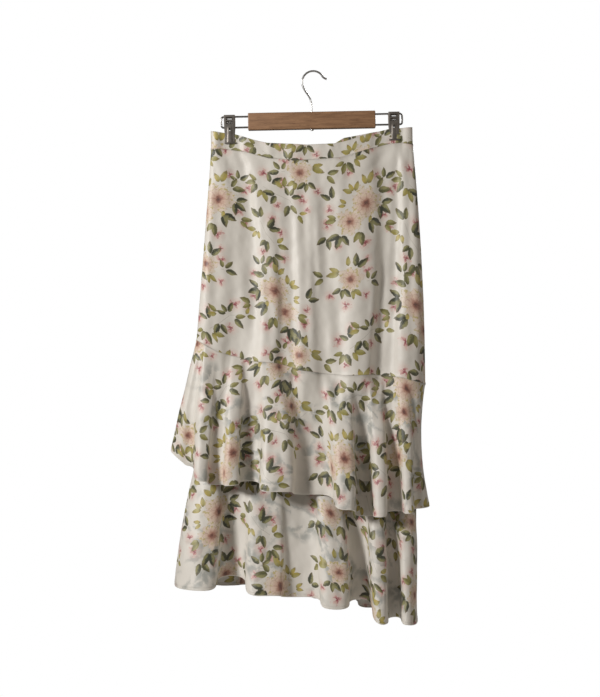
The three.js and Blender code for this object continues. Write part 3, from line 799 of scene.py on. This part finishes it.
# Sprays of the print, each drawn about its own middle, in millimetres and degrees.
# Fan rows: x, y, way of the first leaf, step to the next, leaves, length, tone.
# Blossom and bloom rows: x, y, radius, tone. Stalk rows: x, y of one end and of the other.
FAN = "fan"
SPRAYS = {
    "branch": {
        FAN: [(-42, -6, 158, 56, 3, 21, 0.52), (-30, -12, 262, 54, 2, 20, 0.80),
              (-22, 4, 62, 54, 2, 22, 0.10), (-4, -6, 216, 50, 2, 21, 0.16),
              (4, 8, 118, 48, 2, 17, 0.90), (18, -2, 30, 48, 3, 21, 0.12),
              (22, -12, -78, 46, 2, 21, 0.40), (42, -22, -40, 58, 2, 19, 0.66)],
        BLOSSOM: [(-40, 18, 13, 0.6), (-10, 22, 11, 0.9), (6, -26, 11, 0.3), (40, 4, 13, 0.8),
                  (56, -8, 9, 0.5), (-54, -26, 10, 0.1)],
        STALK: [(-30, -8, 20, -6), (20, -6, 38, -18)],
    },
    "bouquet": {
        BLOOM: [(15, 9, 36, 0.2), (-18, -16, 29, 0.7)],
        FAN: [(-4, 32, 146, -44, 3, 21, 0.78), (22, 38, 104, -40, 2, 22, 0.93),
              (-18, 14, 168, -40, 2, 17, 0.96), (38, 26, 48, -50, 2, 22, 0.44),
              (42, 2, 6, -46, 3, 21, 0.14), (18, -18, -30, -46, 2, 22, 0.10),
              (0, -34, -84, -42, 2, 21, 0.60), (22, -10, -108, 1, 1, 16, 0.98),
              (-36, -34, 210, 44, 3, 22, 0.10), (-38, -8, 152, 40, 2, 20, 0.56),
              (-44, 26, 96, 54, 2, 19, 0.20), (-60, -36, 222, 58, 2, 19, 0.36),
              (56, 40, 34, 52, 3, 18, 0.30), (46, -34, -56, 56, 2, 20, 0.52)],
        BLOSSOM: [(-58, -16, 13, 0.7), (-52, 10, 11, 0.4), (-44, -56, 10, 0.5), (4, -58, 13, 0.9),
                  (48, -18, 11, 0.2), (64, 20, 10, 0.1), (42, 54, 10, 0.6)],
        STALK: [(-40, -32, -60, -40), (42, 30, 56, 40), (4, -38, 4, -52)],
    },
    "posy": {
        BLOOM: [(6, 0, 27, 0.45)],
        FAN: [(-6, 16, 136, 42, 2, 21, 0.84), (-12, -8, 190, 48, 3, 22, 0.12),
              (20, 14, 26, 50, 2, 21, 0.28), (8, 20, 74, 1, 1, 17, 0.95),
              (4, -16, -112, 46, 2, 21, 0.58), (36, -16, -34, 56, 3, 19, 0.34),
              (-36, 18, 146, 58, 2, 18, 0.66)],
        BLOSSOM: [(38, 2, 12, 0.8), (46, 22, 9, 0.3), (-16, -40, 12, 0.6), (-38, -16, 10, 0.2),
                  (22, -36, 10, 0.9)],
        STALK: [(22, -10, 36, -16), (-12, 12, -34, 18)],
    },
    "twig": {
        FAN: [(6, 32, 52, 54, 2, 21, 0.40), (-10, 20, 150, 44, 3, 19, 0.86),
              (6, 10, -14, 50, 2, 22, 0.14), (-4, -4, 184, 50, 2, 22, 0.10),
              (6, -18, -46, 50, 2, 21, 0.64), (-12, -32, 216, 52, 3, 20, 0.46)],
        BLOSSOM: [(26, 24, 13, 0.9), (-26, -20, 11, 0.5), (28, -4, 12, 0.7), (-26, 40, 10, 0.2),
                  (6, -46, 11, 0.6)],
        STALK: [(4, 30, 0, 6), (0, 6, 4, -16)],
    },
}
# Where the sprays stand in one repeat: spray, x, y, turn, and -1 where it is mirrored.
LAYOUT = [("bouquet", 80, 282, 6, 1), ("branch", 210, 318, -24, 1), ("twig", 184, 228, 34, 1),
          ("posy", 60, 160, 20, 1), ("bouquet", 206, 112, -22, -1), ("branch", 90, 64, 38, 1),
          ("posy", 252, 14, -30, -1)]


def printed_motifs():
    """Every motif of one repeat: kind, x, y, the way it points, size, mirror and tone."""
    motifs = []
    for spray, x0, y0, turn, mirror in LAYOUT:
        cos_t, sin_t = math.cos(math.radians(turn)), math.sin(math.radians(turn))

        def place(x, y):
            return x0 + x * mirror * cos_t - y * sin_t, y0 + x * mirror * sin_t + y * cos_t

        def way(degrees):
            return math.radians(turn + (degrees if mirror > 0 else 180 - degrees))

        for x, y, first, step, count, length, tone in SPRAYS[spray][FAN]:
            for k in range(count):
                uneven = math.sin(7.3 * k + 0.9 * x + 1.7 * y)
                points_to = first + k * step + 9 * uneven
                start_x = x + LEAF_START * math.cos(math.radians(points_to))
                start_y = y + LEAF_START * math.sin(math.radians(points_to))
                shade = min(max(tone + 0.22 * uneven + 0.12 * (k % 2), 0.01), 0.99)
                motifs.append((LEAF, *place(start_x, start_y), way(points_to),
                               length * (1.02 - 0.20 * uneven), 1 if k % 2 else -1, shade))
        for kind in (BLOSSOM, BLOOM):
            for x, y, radius, tone in SPRAYS[spray].get(kind, []):
                motifs.append((kind, *place(x, y), way(90 + 70 * tone), radius, mirror, tone))
        for x1, y1, x2, y2 in SPRAYS[spray][STALK]:
            (ax, ay), (bx, by) = place(x1, y1), place(x2, y2)
            slope, length = math.atan2(by - ay, bx - ax), math.hypot(bx - ax, by - ay)
            motifs.append((STALK, ax, ay, slope, length, 1, 0.5))
    return np.array(motifs, dtype=float)


MOTIFS = printed_motifs()


def motif_layers():
    """The motifs sorted so that touching leaves fall in different layers of the print."""
    kinds = MOTIFS[:, 0]
    leaves = np.flatnonzero(kinds == LEAF)
    under = np.flatnonzero((kinds == BLOOM) | (kinds == STALK))
    blossoms = np.flatnonzero(kinds == BLOSSOM)
    return {"print_under": under, "print_over": leaves[0::3], "print_middle": leaves[1::3],
            "print_top": leaves[2::3], "print_blossoms": blossoms,
            "print_ghost": np.concatenate([leaves, under])}


def in_motif(delta, motifs):
    """A step from a motif's origin, turned and scaled to that motif: along it and across it."""
    cos_w, sin_w = np.cos(motifs[..., 3]), np.sin(motifs[..., 3])
    size = motifs[..., 4]
    along = (delta[..., 0] * cos_w + delta[..., 1] * sin_w) / size
    over = (-delta[..., 0] * sin_w + delta[..., 1] * cos_w) / size * motifs[..., 5]
    return along, over


def beyond(along, over, motifs):
    """Roughly how many millimetres a place lies outside each motif's outline."""
    kind, size = motifs[..., 0], motifs[..., 4]
    leaf = (np.hypot((along - 0.45) / 0.54, over / 0.28) - 1) * size * 0.3
    disc = (np.hypot(along, over) - 1) * size
    stalk = (np.abs(over) + np.maximum(np.maximum(-along, along - 1), 0)) * size
    return np.where(kind == LEAF, leaf, np.where(kind == STALK, stalk, disc))


def lay_print(piece, ghost_shift):
    """Stores, for each corner of each face, its place in the nearest motif of every layer. The
    ghost layer, where there is one, is the print of the cloth behind, shining through."""
    mesh = piece.data
    count = len(mesh.loops)
    cut = np.empty(count * 2)
    mesh.uv_layers["cut"].data.foreach_get("uv", cut)
    cut = cut.reshape(-1, 2) / MM
    sides = np.empty(len(mesh.polygons), dtype=int)
    mesh.polygons.foreach_get("loop_total", sides)
    face_of = np.repeat(np.arange(len(sides)), sides)
    middles = np.stack([np.bincount(face_of, cut[:, k]) / sides for k in (0, 1)], axis=1)
    for name, chosen in motif_layers().items():
        if name == "print_ghost" and ghost_shift is None:
            continue
        shift = np.array(ghost_shift) if name == "print_ghost" else np.zeros(2)
        motifs = MOTIFS[chosen]
        delta = middles[:, None, :] + shift - motifs[None, :, 1:3]
        turns = np.round(delta / REPEAT)
        delta = delta - turns * REPEAT
        along, over = in_motif(delta, motifs[None])
        nearest = np.argmin(beyond(along, over, motifs[None]), axis=1)
        mine = motifs[nearest][face_of]
        home = (motifs[nearest, 1:3] + turns[np.arange(len(sides)), nearest] * REPEAT)[face_of]
        along, over = in_motif(cut + shift - home, mine)
        over = np.where(mine[:, 0] == STALK, over * mine[:, 4], over)
        code = mine[:, 0] + 0.02 + 0.96 * mine[:, 6]
        layer = mesh.attributes.new(name, "FLOAT_VECTOR", "CORNER")
        layer.data.foreach_set("vector", np.stack([along, over, code], axis=1).ravel())


def leaf_mask(net, along, over, soft_low, soft_high, top=1.0):
    """A pointed leaf, widest before its middle."""
    inside = net.math("MINIMUM", net.math("MAXIMUM", along, 0.0), 1.0)
    half = net.math("POWER", inside, 0.62) * net.math("POWER", 1.0 - inside, 0.95) * 0.72
    return net.soft_step(half - abs(over), soft_low, soft_high, top)


LEAF_TONES = ((0.0, (0.050, 0.054, 0.038)), (0.25, (0.090, 0.092, 0.052)), (0.5, (0.165, 0.158, 0.064)),
              (0.74, (0.310, 0.275, 0.080)), (1.0, (0.530, 0.420, 0.120)))
BLOSSOM_TONES = ((0.0, (0.20, 0.054, 0.056)), (0.20, (0.38, 0.125, 0.135)), (0.38, (0.52, 0.26, 0.245)),
                 (0.58, (0.64, 0.43, 0.38)), (0.9, (0.71, 0.55, 0.48)))
BLOOM_TONES = ((0.0, (0.100, 0.036, 0.026)), (0.10, (0.21, 0.072, 0.050)), (0.19, (0.42, 0.21, 0.15)),
               (0.29, (0.63, 0.43, 0.33)), (0.46, (0.73, 0.58, 0.47)), (0.80, (0.74, 0.65, 0.56)))


def motif_group():
    """Draws one printed motif: takes its place, its ground colour and blotches, gives a colour."""
    group, net, given, result = node_group(
        "printed motif", {"Place": "Vector", "Ground": "Color", "Blotch": "Float"}, {"Colour": "Color"})
    step, mix = net.soft_step, net.mix
    along, over, code = net.parts(given["Place"])
    blotch = Value(net, given["Blotch"])
    tone, kind = net.math("FRACT", code), net.math("FLOOR", code)
    radius = net.math("SQRT", along * along + over * over)
    turn = net.math("ARCTAN2", over, along)

    def only(which, mask):
        return net.math("COMPARE", kind, float(which), 0.5) * mask

    green = net.ramp(tone, *LEAF_TONES)
    leaf = leaf_mask(net, along, over + (blotch - 0.5) * 0.16, 0.0, 0.05)
    bright = mix(0.66, green, (0.44, 0.41, 0.19))
    green = mix(step(over + blotch * 0.30, 0.14, 0.22, 0.9), green, bright)
    green = mix(step(along, 0.34, 0.0, 0.55), green, (0.050, 0.044, 0.028))
    green = mix(step(along + blotch * 0.5, 0.86, 1.12, 0.55), green, (0.120, 0.072, 0.042))
    green = mix(step(abs(over), 0.035, 0.010, 0.30), green, (0.34, 0.33, 0.17))
    green = mix(step(blotch, 0.56, 0.70, 0.45), green, (0.27, 0.26, 0.12))
    colour = mix(only(LEAF, leaf), given["Ground"], green)

    uneven = (blotch - 0.5) * 1.9
    near = radius + uneven * 0.45
    colour = mix(only(BLOSSOM, step(near, 1.5, 0.4, 0.50)), colour, (0.70, 0.52, 0.46))
    lobes = abs(net.cosine(turn * 1.5 + radius * 0.9))
    lopsided = abs(net.cosine(turn * 0.5 + tone * 9.0))
    petals = lobes * (lopsided * 0.56 + 0.20) + 0.22 + uneven * 1.3
    blossom = step(petals - radius, 0.0, 0.26)
    pink = net.ramp(near, *BLOSSOM_TONES)
    streaks = net.cosine(turn * 7.0 + blotch * 9.0)
    pink = mix(step(streaks, 0.45, 0.95, 0.55), pink, (0.38, 0.090, 0.120))
    pink = mix(step(blotch, 0.52, 0.66, 0.65), pink, (0.71, 0.49, 0.44))
    colour = mix(only(BLOSSOM, blossom), colour, pink)

    waves, frills = net.cosine(turn * 3.0) * 0.09, abs(net.cosine(turn * 4.0)) * 0.20
    edge = waves + frills + 0.68 + uneven * 0.30
    bloom = step(edge - radius, 0.0, 0.08, 0.94)
    peach = net.ramp(radius + uneven * 0.20, *BLOOM_TONES)
    rays = step(net.cosine(turn * 8.0 + uneven * 2.6), -0.88, -1.0, 0.62)
    peach = mix(rays * step(radius, 0.80, 0.30), peach, (0.40, 0.22, 0.16))
    inner_edge = abs(edge * 0.60 - radius)
    peach = mix(step(inner_edge, 0.028, 0.008, 0.50), peach, (0.48, 0.30, 0.22))
    outer_edge = abs(edge - radius - 0.05)
    peach = mix(step(outer_edge, 0.04, 0.01, 0.42), peach, (0.50, 0.34, 0.25))
    gold = step(blotch, 0.54, 0.60, 0.80) * step(radius, 0.30, 0.6)
    peach = mix(gold, peach, (0.50, 0.41, 0.13))
    colour = mix(only(BLOOM, bloom), colour, peach)

    within = step(along, -0.03, 0.0) * step(along, 1.03, 1.0)
    stalk = within * step(abs(over), 0.62, 0.30, 0.30)
    net.feed(result["Colour"], mix(only(STALK, stalk), colour, (0.16, 0.14, 0.07)))
    return group


MOTIF_GROUP = motif_group()
GROUND_DARK, GROUND_LIGHT = (0.697, 0.656, 0.594), (0.758, 0.723, 0.664)
# Of the next three colours, the second is a painted highlight for the rolled hems and the third is painted
# shade for the seams.
GHOST, HEM_HIGHLIGHT, SEAM_SHADE = (0.40, 0.405, 0.375), (0.83, 0.79, 0.72), (0.24, 0.21, 0.17)
THREAD_PITCH = 0.9 * MM
# How fine the uneven tones are, per metre of cloth.
PATCHES, CLOUDS, CRINKLES, BLOTCHES = 11, 24, 95, 190


def printed_cloth(name, faded, ghosts):
    """The printed weave. faded is how far the print has sunk into the ground, from 0 to 1, and
    ghosts says whether the print of the cloth behind shows through."""
    material, shader, net = new_look(name)
    place = net.add("UVMap", {"uv_map": "cut"}).outputs["UV"]
    blotch = net.noise(place, BLOTCHES, 4)
    ground = colour = net.mix(net.noise(place, CLOUDS, 3), GROUND_DARK, GROUND_LIGHT)

    def stored(attribute, output="Vector"):
        return net.add("Attribute", {"attribute_name": attribute}).outputs[output]

    if ghosts:
        along, over, _ = net.parts(stored("print_ghost"))
        ghost = leaf_mask(net, along, over + (blotch - 0.5) * 0.5, -0.30, 0.18, 0.95)
        patchy = net.soft_step(net.noise(place, PATCHES, 1), 0.44, 0.54)
        colour = net.mix(ghost * patchy, ground, GHOST)
    for layer in ("print_under", "print_blossoms", "print_over", "print_middle", "print_top"):
        motif = net.add("Group", {"node_tree": MOTIF_GROUP},
                        Place=stored(layer), Ground=colour, Blotch=blotch)
        colour = motif.outputs["Colour"]
    colour = net.mix(faded, colour, ground)
    edge = stored("edge_highlight_and_shade", "Fac")
    # Painted highlight: a pale band along each rolled hem.
    colour = net.mix(net.soft_step(edge, 0.0, 1.0, 0.75), colour, HEM_HIGHLIGHT)
    # Painted shade: a dark line along each seam and along the edges that have no hem.
    colour = net.mix(net.soft_step(edge, 0.0, -1.0, 0.22), colour, SEAM_SHADE)
    thread = 2 * math.pi / THREAD_PITCH
    weft, warp = [net.math("SINE", way * thread) for way in net.parts(place)[:2]]
    threads = net.add("Bump", Strength=0.18, Distance=0.06 * MM, Height=weft * warp)
    crinkle = net.add("Bump", Strength=0.30, Distance=0.7 * MM, Height=net.noise(place, CRINKLES, 3),
                      Normal=threads.outputs["Normal"])
    gloss = net.add("MapRange", Value=blotch, To_Min=0.40, To_Max=0.56)
    net.fill(shader, Base_Color=colour, Normal=crinkle.outputs["Normal"],
             Roughness=gloss.outputs["Result"], Specular_IOR_Level=0.48, Sheen_Weight=0.10,
             Sheen_Roughness=0.4)
    return material


RIGHT_SIDE = printed_cloth("printed weave", 0.0, False)
LAYERED_SIDE = printed_cloth("printed weave over another layer", 0.0, True)
WRONG_SIDE = printed_cloth("printed weave wrong side", 0.55, False)


def make_panels(part, node, point, folds, rows, details, uv_start,
                thickness=CLOTH_THICKNESS, turned_hem=False, top_dip=SEAM_DIP, ghost_shift=None):
    """The front and the back of one part of the skirt, each held by the pieces named for its side."""
    for side in ("front", "back"):
        piece, width, length, area = make_cloth(
            f"{side}_{part}", side, point, len(folds[side]["topX"]) - 1, rows, details[side],
            thickness, turned_hem, top_dip, uv_start)
        lay_print(piece, ghost_shift)
        outer_side = LAYERED_SIDE if ghost_shift else RIGHT_SIDE
        dress(piece, "skirt_cloth", f"{side}_{node}", outer_side, WRONG_SIDE)


# Waistband
# Real piece: a folded band 30 mm deep, cut in a front and a back half and joined at the sides. The
# clips grip it near its ends, so its top edge sags between them.
BAND_CREASES = {
    "front": [(-122, -122, -104, -152, 6, 1.0), (-86, -126, -74, -156, 5, -0.8),
              (-60, -130, -56, -160, 5, 0.9), (-34, -134, -30, -162, 4, -0.8),
              (-4, -134, -6, -162, 5, 0.7), (28, -133, 34, -160, 4, -0.9), (68, -125, 62, -154, 6, 1.0),
              (104, -116, 96, -146, 5, -0.8)],
    "back": [(-118, -122, -100, -152, 6, 0.9), (-70, -130, -62, -158, 5, -0.8),
             (-24, -134, -20, -162, 5, 0.8), (24, -132, 26, -160, 5, -0.7), (62, -118, 70, -152, 6, 0.9),
             (106, -114, 98, -146, 5, -0.8)],
}
make_panels("band_cloth", "waistband", band_point, UPPER, panel_rows(12, 30 * MM, False), BAND_CREASES,
            (0, 0), thickness=BAND_THICKNESS, top_dip=0)

# Upper panels
# Real piece: front and back of the skirt, cut slightly flared, sewn to the waistband with a few
# soft folds and joined at the sides.
UPPER_CREASES = {
    "front": [
        (-146, -146, -130, -490, 15, -4.0), (-176, -170, -190, -490, 12, 2.8),
        (-96, -200, -84, -520, 11, 2.6), (-62, -220, -54, -530, 10, -2.6),
        (-22, -162, -20, -540, 9, 2.8), (0, -210, 4, -420, 7, -2.2), (16, -200, 16, -390, 8, 2.0),
        (20, -400, 24, -530, 10, -2.6), (42, -190, 40, -400, 10, -2.4), (102, -220, 84, -525, 13, 3.4),
        (140, -132, 122, -530, 11, -3.8), (168, -146, 166, -530, 8, 2.6), (175, -220, 180, -520, 6, -1.1),
        (-148, -136, -94, -205, 7, 1.2), (-146, -142, -118, -225, 6, -1.0),
        (136, -138, 92, -190, 7, 1.0), (-60, -158, -57, -206, 6, -0.9), (8, -160, 10, -210, 6, 0.9),
        (-36, -160, -34, -200, 5, 0.8), (46, -158, 50, -200, 5, -0.9), (-84, -156, -88, -210, 5, 0.8)],
    "back": [
        (-146, -140, -141, -470, 10, -2.4), (-170, -170, -186, -480, 9, 1.4),
        (-100, -200, -90, -510, 11, 2.0), (-44, -230, -36, -520, 12, -2.2),
        (8, -166, 17, -530, 10, 2.4), (70, -230, 71, -520, 11, -2.2), (108, -200, 107, -530, 9, 1.8),
        (140, -134, 138, -520, 9, -3.2), (162, -150, 168, -530, 8, 2.2),
        (-146, -138, -100, -200, 7, 1.0), (138, -138, 98, -196, 7, 1.0), (-70, -240, -62, -380, 8, -1.0),
        (40, -250, 46, -400, 9, 1.1), (-60, -160, -56, -206, 6, 0.9), (-20, -162, -18, -210, 6, -0.9),
        (34, -160, 30, -204, 5, 0.8), (76, -150, 84, -200, 6, -0.9)],
}
make_panels("upper_cloth", "upper_panel", upper_point, UPPER, panel_rows(125, 400 * MM, False),
            UPPER_CREASES, (0, 40))

# Lower panels
# Real piece: plain short panels under the first flounce, which carry the second flounce.
LOWER_CREASES = {
    "front": [(-120, -560, -110, -650, 9, -1.2), (20, -570, 26, -670, 9, -1.2)],
    "back": [(-100, -560, -96, -650, 9, -1.2), (60, -570, 64, -680, 9, -1.2)],
}
make_panels("lower_cloth", "lower_panel", lower_point, UPPER, panel_rows(34, 160 * MM, False),
            LOWER_CREASES, (60, 500))

# First flounce
# Real piece: a curved strip sewn under the upper panel's slanting edge, so that it falls in deep
# uneven flutes, with a narrow rolled hem.
FLOUNCE_1_CREASES = {
    "front": [
        (-204, -488, -208, -560, 5, -1.0), (-188, -496, -196, -600, 5, 1.1),
        (-172, -504, -180, -610, 5, -1.1), (-158, -508, -162, -580, 4, 0.9),
        (-138, -514, -140, -620, 5, -1.2), (-116, -520, -116, -590, 4, 0.9),
        (-100, -522, -104, -600, 5, -1.0), (-68, -526, -62, -660, 7, -1.6), (-48, -532, -46, -610, 5, 1.1),
        (-30, -538, -28, -640, 6, -1.2), (2, -546, 4, -610, 5, 0.9), (14, -548, 22, -660, 6, -1.4),
        (30, -548, 34, -610, 5, 1.0), (54, -550, 58, -640, 6, -1.2), (84, -550, 86, -610, 5, 0.9),
        (94, -550, 92, -640, 5, -1.1), (116, -552, 116, -620, 5, 1.0), (136, -556, 138, -650, 5, -1.1),
        (160, -560, 160, -630, 5, 0.9), (176, -566, 174, -650, 4, -0.9),
        (-66, -600, -52, -745, 9, -2.2), (-84, -640, -92, -740, 9, 1.4), (-24, -640, -22, -752, 10, 1.2),
        (22, -600, 24, -778, 8, 1.8), (52, -610, 54, -790, 7, -1.8), (-148, -620, -154, -730, 6, 1.2),
        (-196, -600, -206, -726, 8, 1.4), (-230, -600, -252, -690, 9, -1.2)],
    "back": [
        (-200, -490, -206, -570, 5, -1.0), (-180, -500, -186, -600, 5, 1.0),
        (-150, -512, -152, -620, 6, -1.2), (-110, -520, -112, -600, 5, 1.0),
        (-98, -522, -100, -620, 5, -1.1), (-66, -526, -66, -600, 5, 0.9), (-30, -538, -28, -640, 6, -1.2),
        (16, -546, 18, -640, 6, -1.2), (50, -548, 50, -620, 5, 1.0), (66, -548, 68, -630, 5, -1.1),
        (104, -550, 106, -620, 5, 1.0), (132, -554, 134, -640, 5, -1.1), (160, -560, 160, -630, 5, 0.9),
        (-204, -600, -214, -700, 8, 1.4), (-132, -620, -140, -725, 8, 1.4), (-42, -620, -44, -745, 8, 1.4),
        (42, -640, 44, -765, 8, 1.4), (120, -640, 124, -780, 7, 1.2)],
}


def flounce_1_point(side, place, v):
    return flounce_point(FLOUNCE_1[side], upper_point, side, place, v)


make_panels("flounce_one_cloth", "flounce_1", flounce_1_point, FLOUNCE_1, panel_rows(80, 240 * MM, True),
            FLOUNCE_1_CREASES, (10, 430), turned_hem=True, ghost_shift=(96, 57))

# Second flounce
# Real piece: a like strip on the lower panel, cut longer to the right, with a narrow rolled hem.
FLOUNCE_2_CREASES = {
    "front": [
        (-198, -740, -206, -910, 9, 1.4), (-230, -760, -248, -900, 9, -1.2),
        (-180, -730, -184, -860, 6, -1.2), (-140, -750, -140, -915, 7, -1.6),
        (-100, -760, -98, -925, 9, 1.6), (-72, -770, -74, -930, 8, -2.0), (-40, -770, -38, -930, 9, 1.0),
        (-12, -780, -8, -945, 8, -1.4), (24, -800, 28, -950, 8, 1.8), (50, -810, 46, -950, 7, -1.2),
        (84, -820, 86, -975, 6, -1.2), (102, -820, 104, -980, 6, 1.2), (148, -820, 146, -984, 6, 1.2),
        (-116, -830, -126, -900, 6, 0.9), (6, -860, -4, -930, 6, 0.9)],
    "back": [
        (-206, -740, -216, -910, 9, 1.4), (-160, -750, -166, -915, 7, -1.4),
        (-124, -760, -130, -925, 8, 1.4), (-84, -770, -86, -930, 7, -1.3), (-42, -770, -44, -940, 8, 1.4),
        (0, -780, -2, -945, 7, -1.3), (42, -790, 44, -955, 8, 1.4), (82, -800, 84, -965, 7, -1.3),
        (121, -810, 123, -975, 7, 1.3)],
}


def flounce_2_point(side, place, v):
    return flounce_point(FLOUNCE_2[side], lower_point, side, place, v)


make_panels("flounce_two_cloth", "flounce_2", flounce_2_point, FLOUNCE_2, panel_rows(86, 260 * MM, True),
            FLOUNCE_2_CREASES, (30, 700), turned_hem=True, ghost_shift=(40, 148))

# Floor, light and camera
# A plain pale floor well below the hem, a small warm light from the left, a weak one from the
# right, a soft one from behind, and the photograph's straight, slightly rolled view.
FLOOR_Z = -1.75
SKIRT_MIDDLE = (0, 0, -0.5)
SENSOR_MM = 36
CAMERA_DISTANCE = 2.6
VIEW_HEIGHT = 1.2546
VIEW_X, VIEW_Z = -33.2 * MM, -497.1 * MM
ROLL = math.radians(1.13)
floor = primitive(bpy.ops.mesh.primitive_circle_add, "floor", vertices=96, radius=1.15,
                  fill_type="NGON", location=(0, 0, FLOOR_Z))
floor_look, floor_shader, floor_net = new_look("pale floor")
floor_net.fill(floor_shader, Base_Color=(0.82, 0.82, 0.80, 1), Roughness=0.8)
floor.data.materials.append(floor_look)


def area_light(name, place, size, watts, colour):
    lamp = bpy.data.lights.new(name, "AREA")
    lamp.shape = "DISK"
    lamp.size = size
    lamp.energy = watts
    lamp.color = colour
    light = into_scene(name, lamp)
    light.location = place
    light.rotation_euler = (Vector(SKIRT_MIDDLE) - Vector(place)).to_track_quat("-Z", "Y").to_euler()


area_light("key", (-2.27, -1.83, 0.5), 0.6, 76, (1.0, 0.985, 0.965))
area_light("side", (2.7, -1.1, 0.2), 1.4, 11, (1.0, 0.95, 0.87))
area_light("rear", (0.9, 2.8, 0.7), 1.2, 62, (1.0, 1.0, 1.0))
bpy.context.scene.view_settings.view_transform = "Standard"

# The backdrop is white to the camera and a weak warm light to the object.
world = bpy.data.worlds.new("studio")
bpy.context.scene.world = world
world.use_nodes = True
world_net = Net(world.node_tree)
to_camera = world_net.add("LightPath").outputs["Is Camera Ray"]
level = world_net.add("MapRange", Value=to_camera, To_Min=0.13, To_Max=1.0)
world_net.fill(world_net.nodes["Background"], Strength=level.outputs["Result"],
               Color=world_net.mix(to_camera, (1.0, 0.90, 0.79), (1, 1, 1)))

camera_data = bpy.data.cameras.new("camera")
camera_data.sensor_width = SENSOR_MM
camera_data.lens = SENSOR_MM * CAMERA_DISTANCE / VIEW_HEIGHT
camera = into_scene("camera", camera_data)
camera.location = (VIEW_X, -CAMERA_DISTANCE, VIEW_Z)
camera.rotation_euler = (math.pi / 2, ROLL, 0)
bpy.context.scene.camera = camera
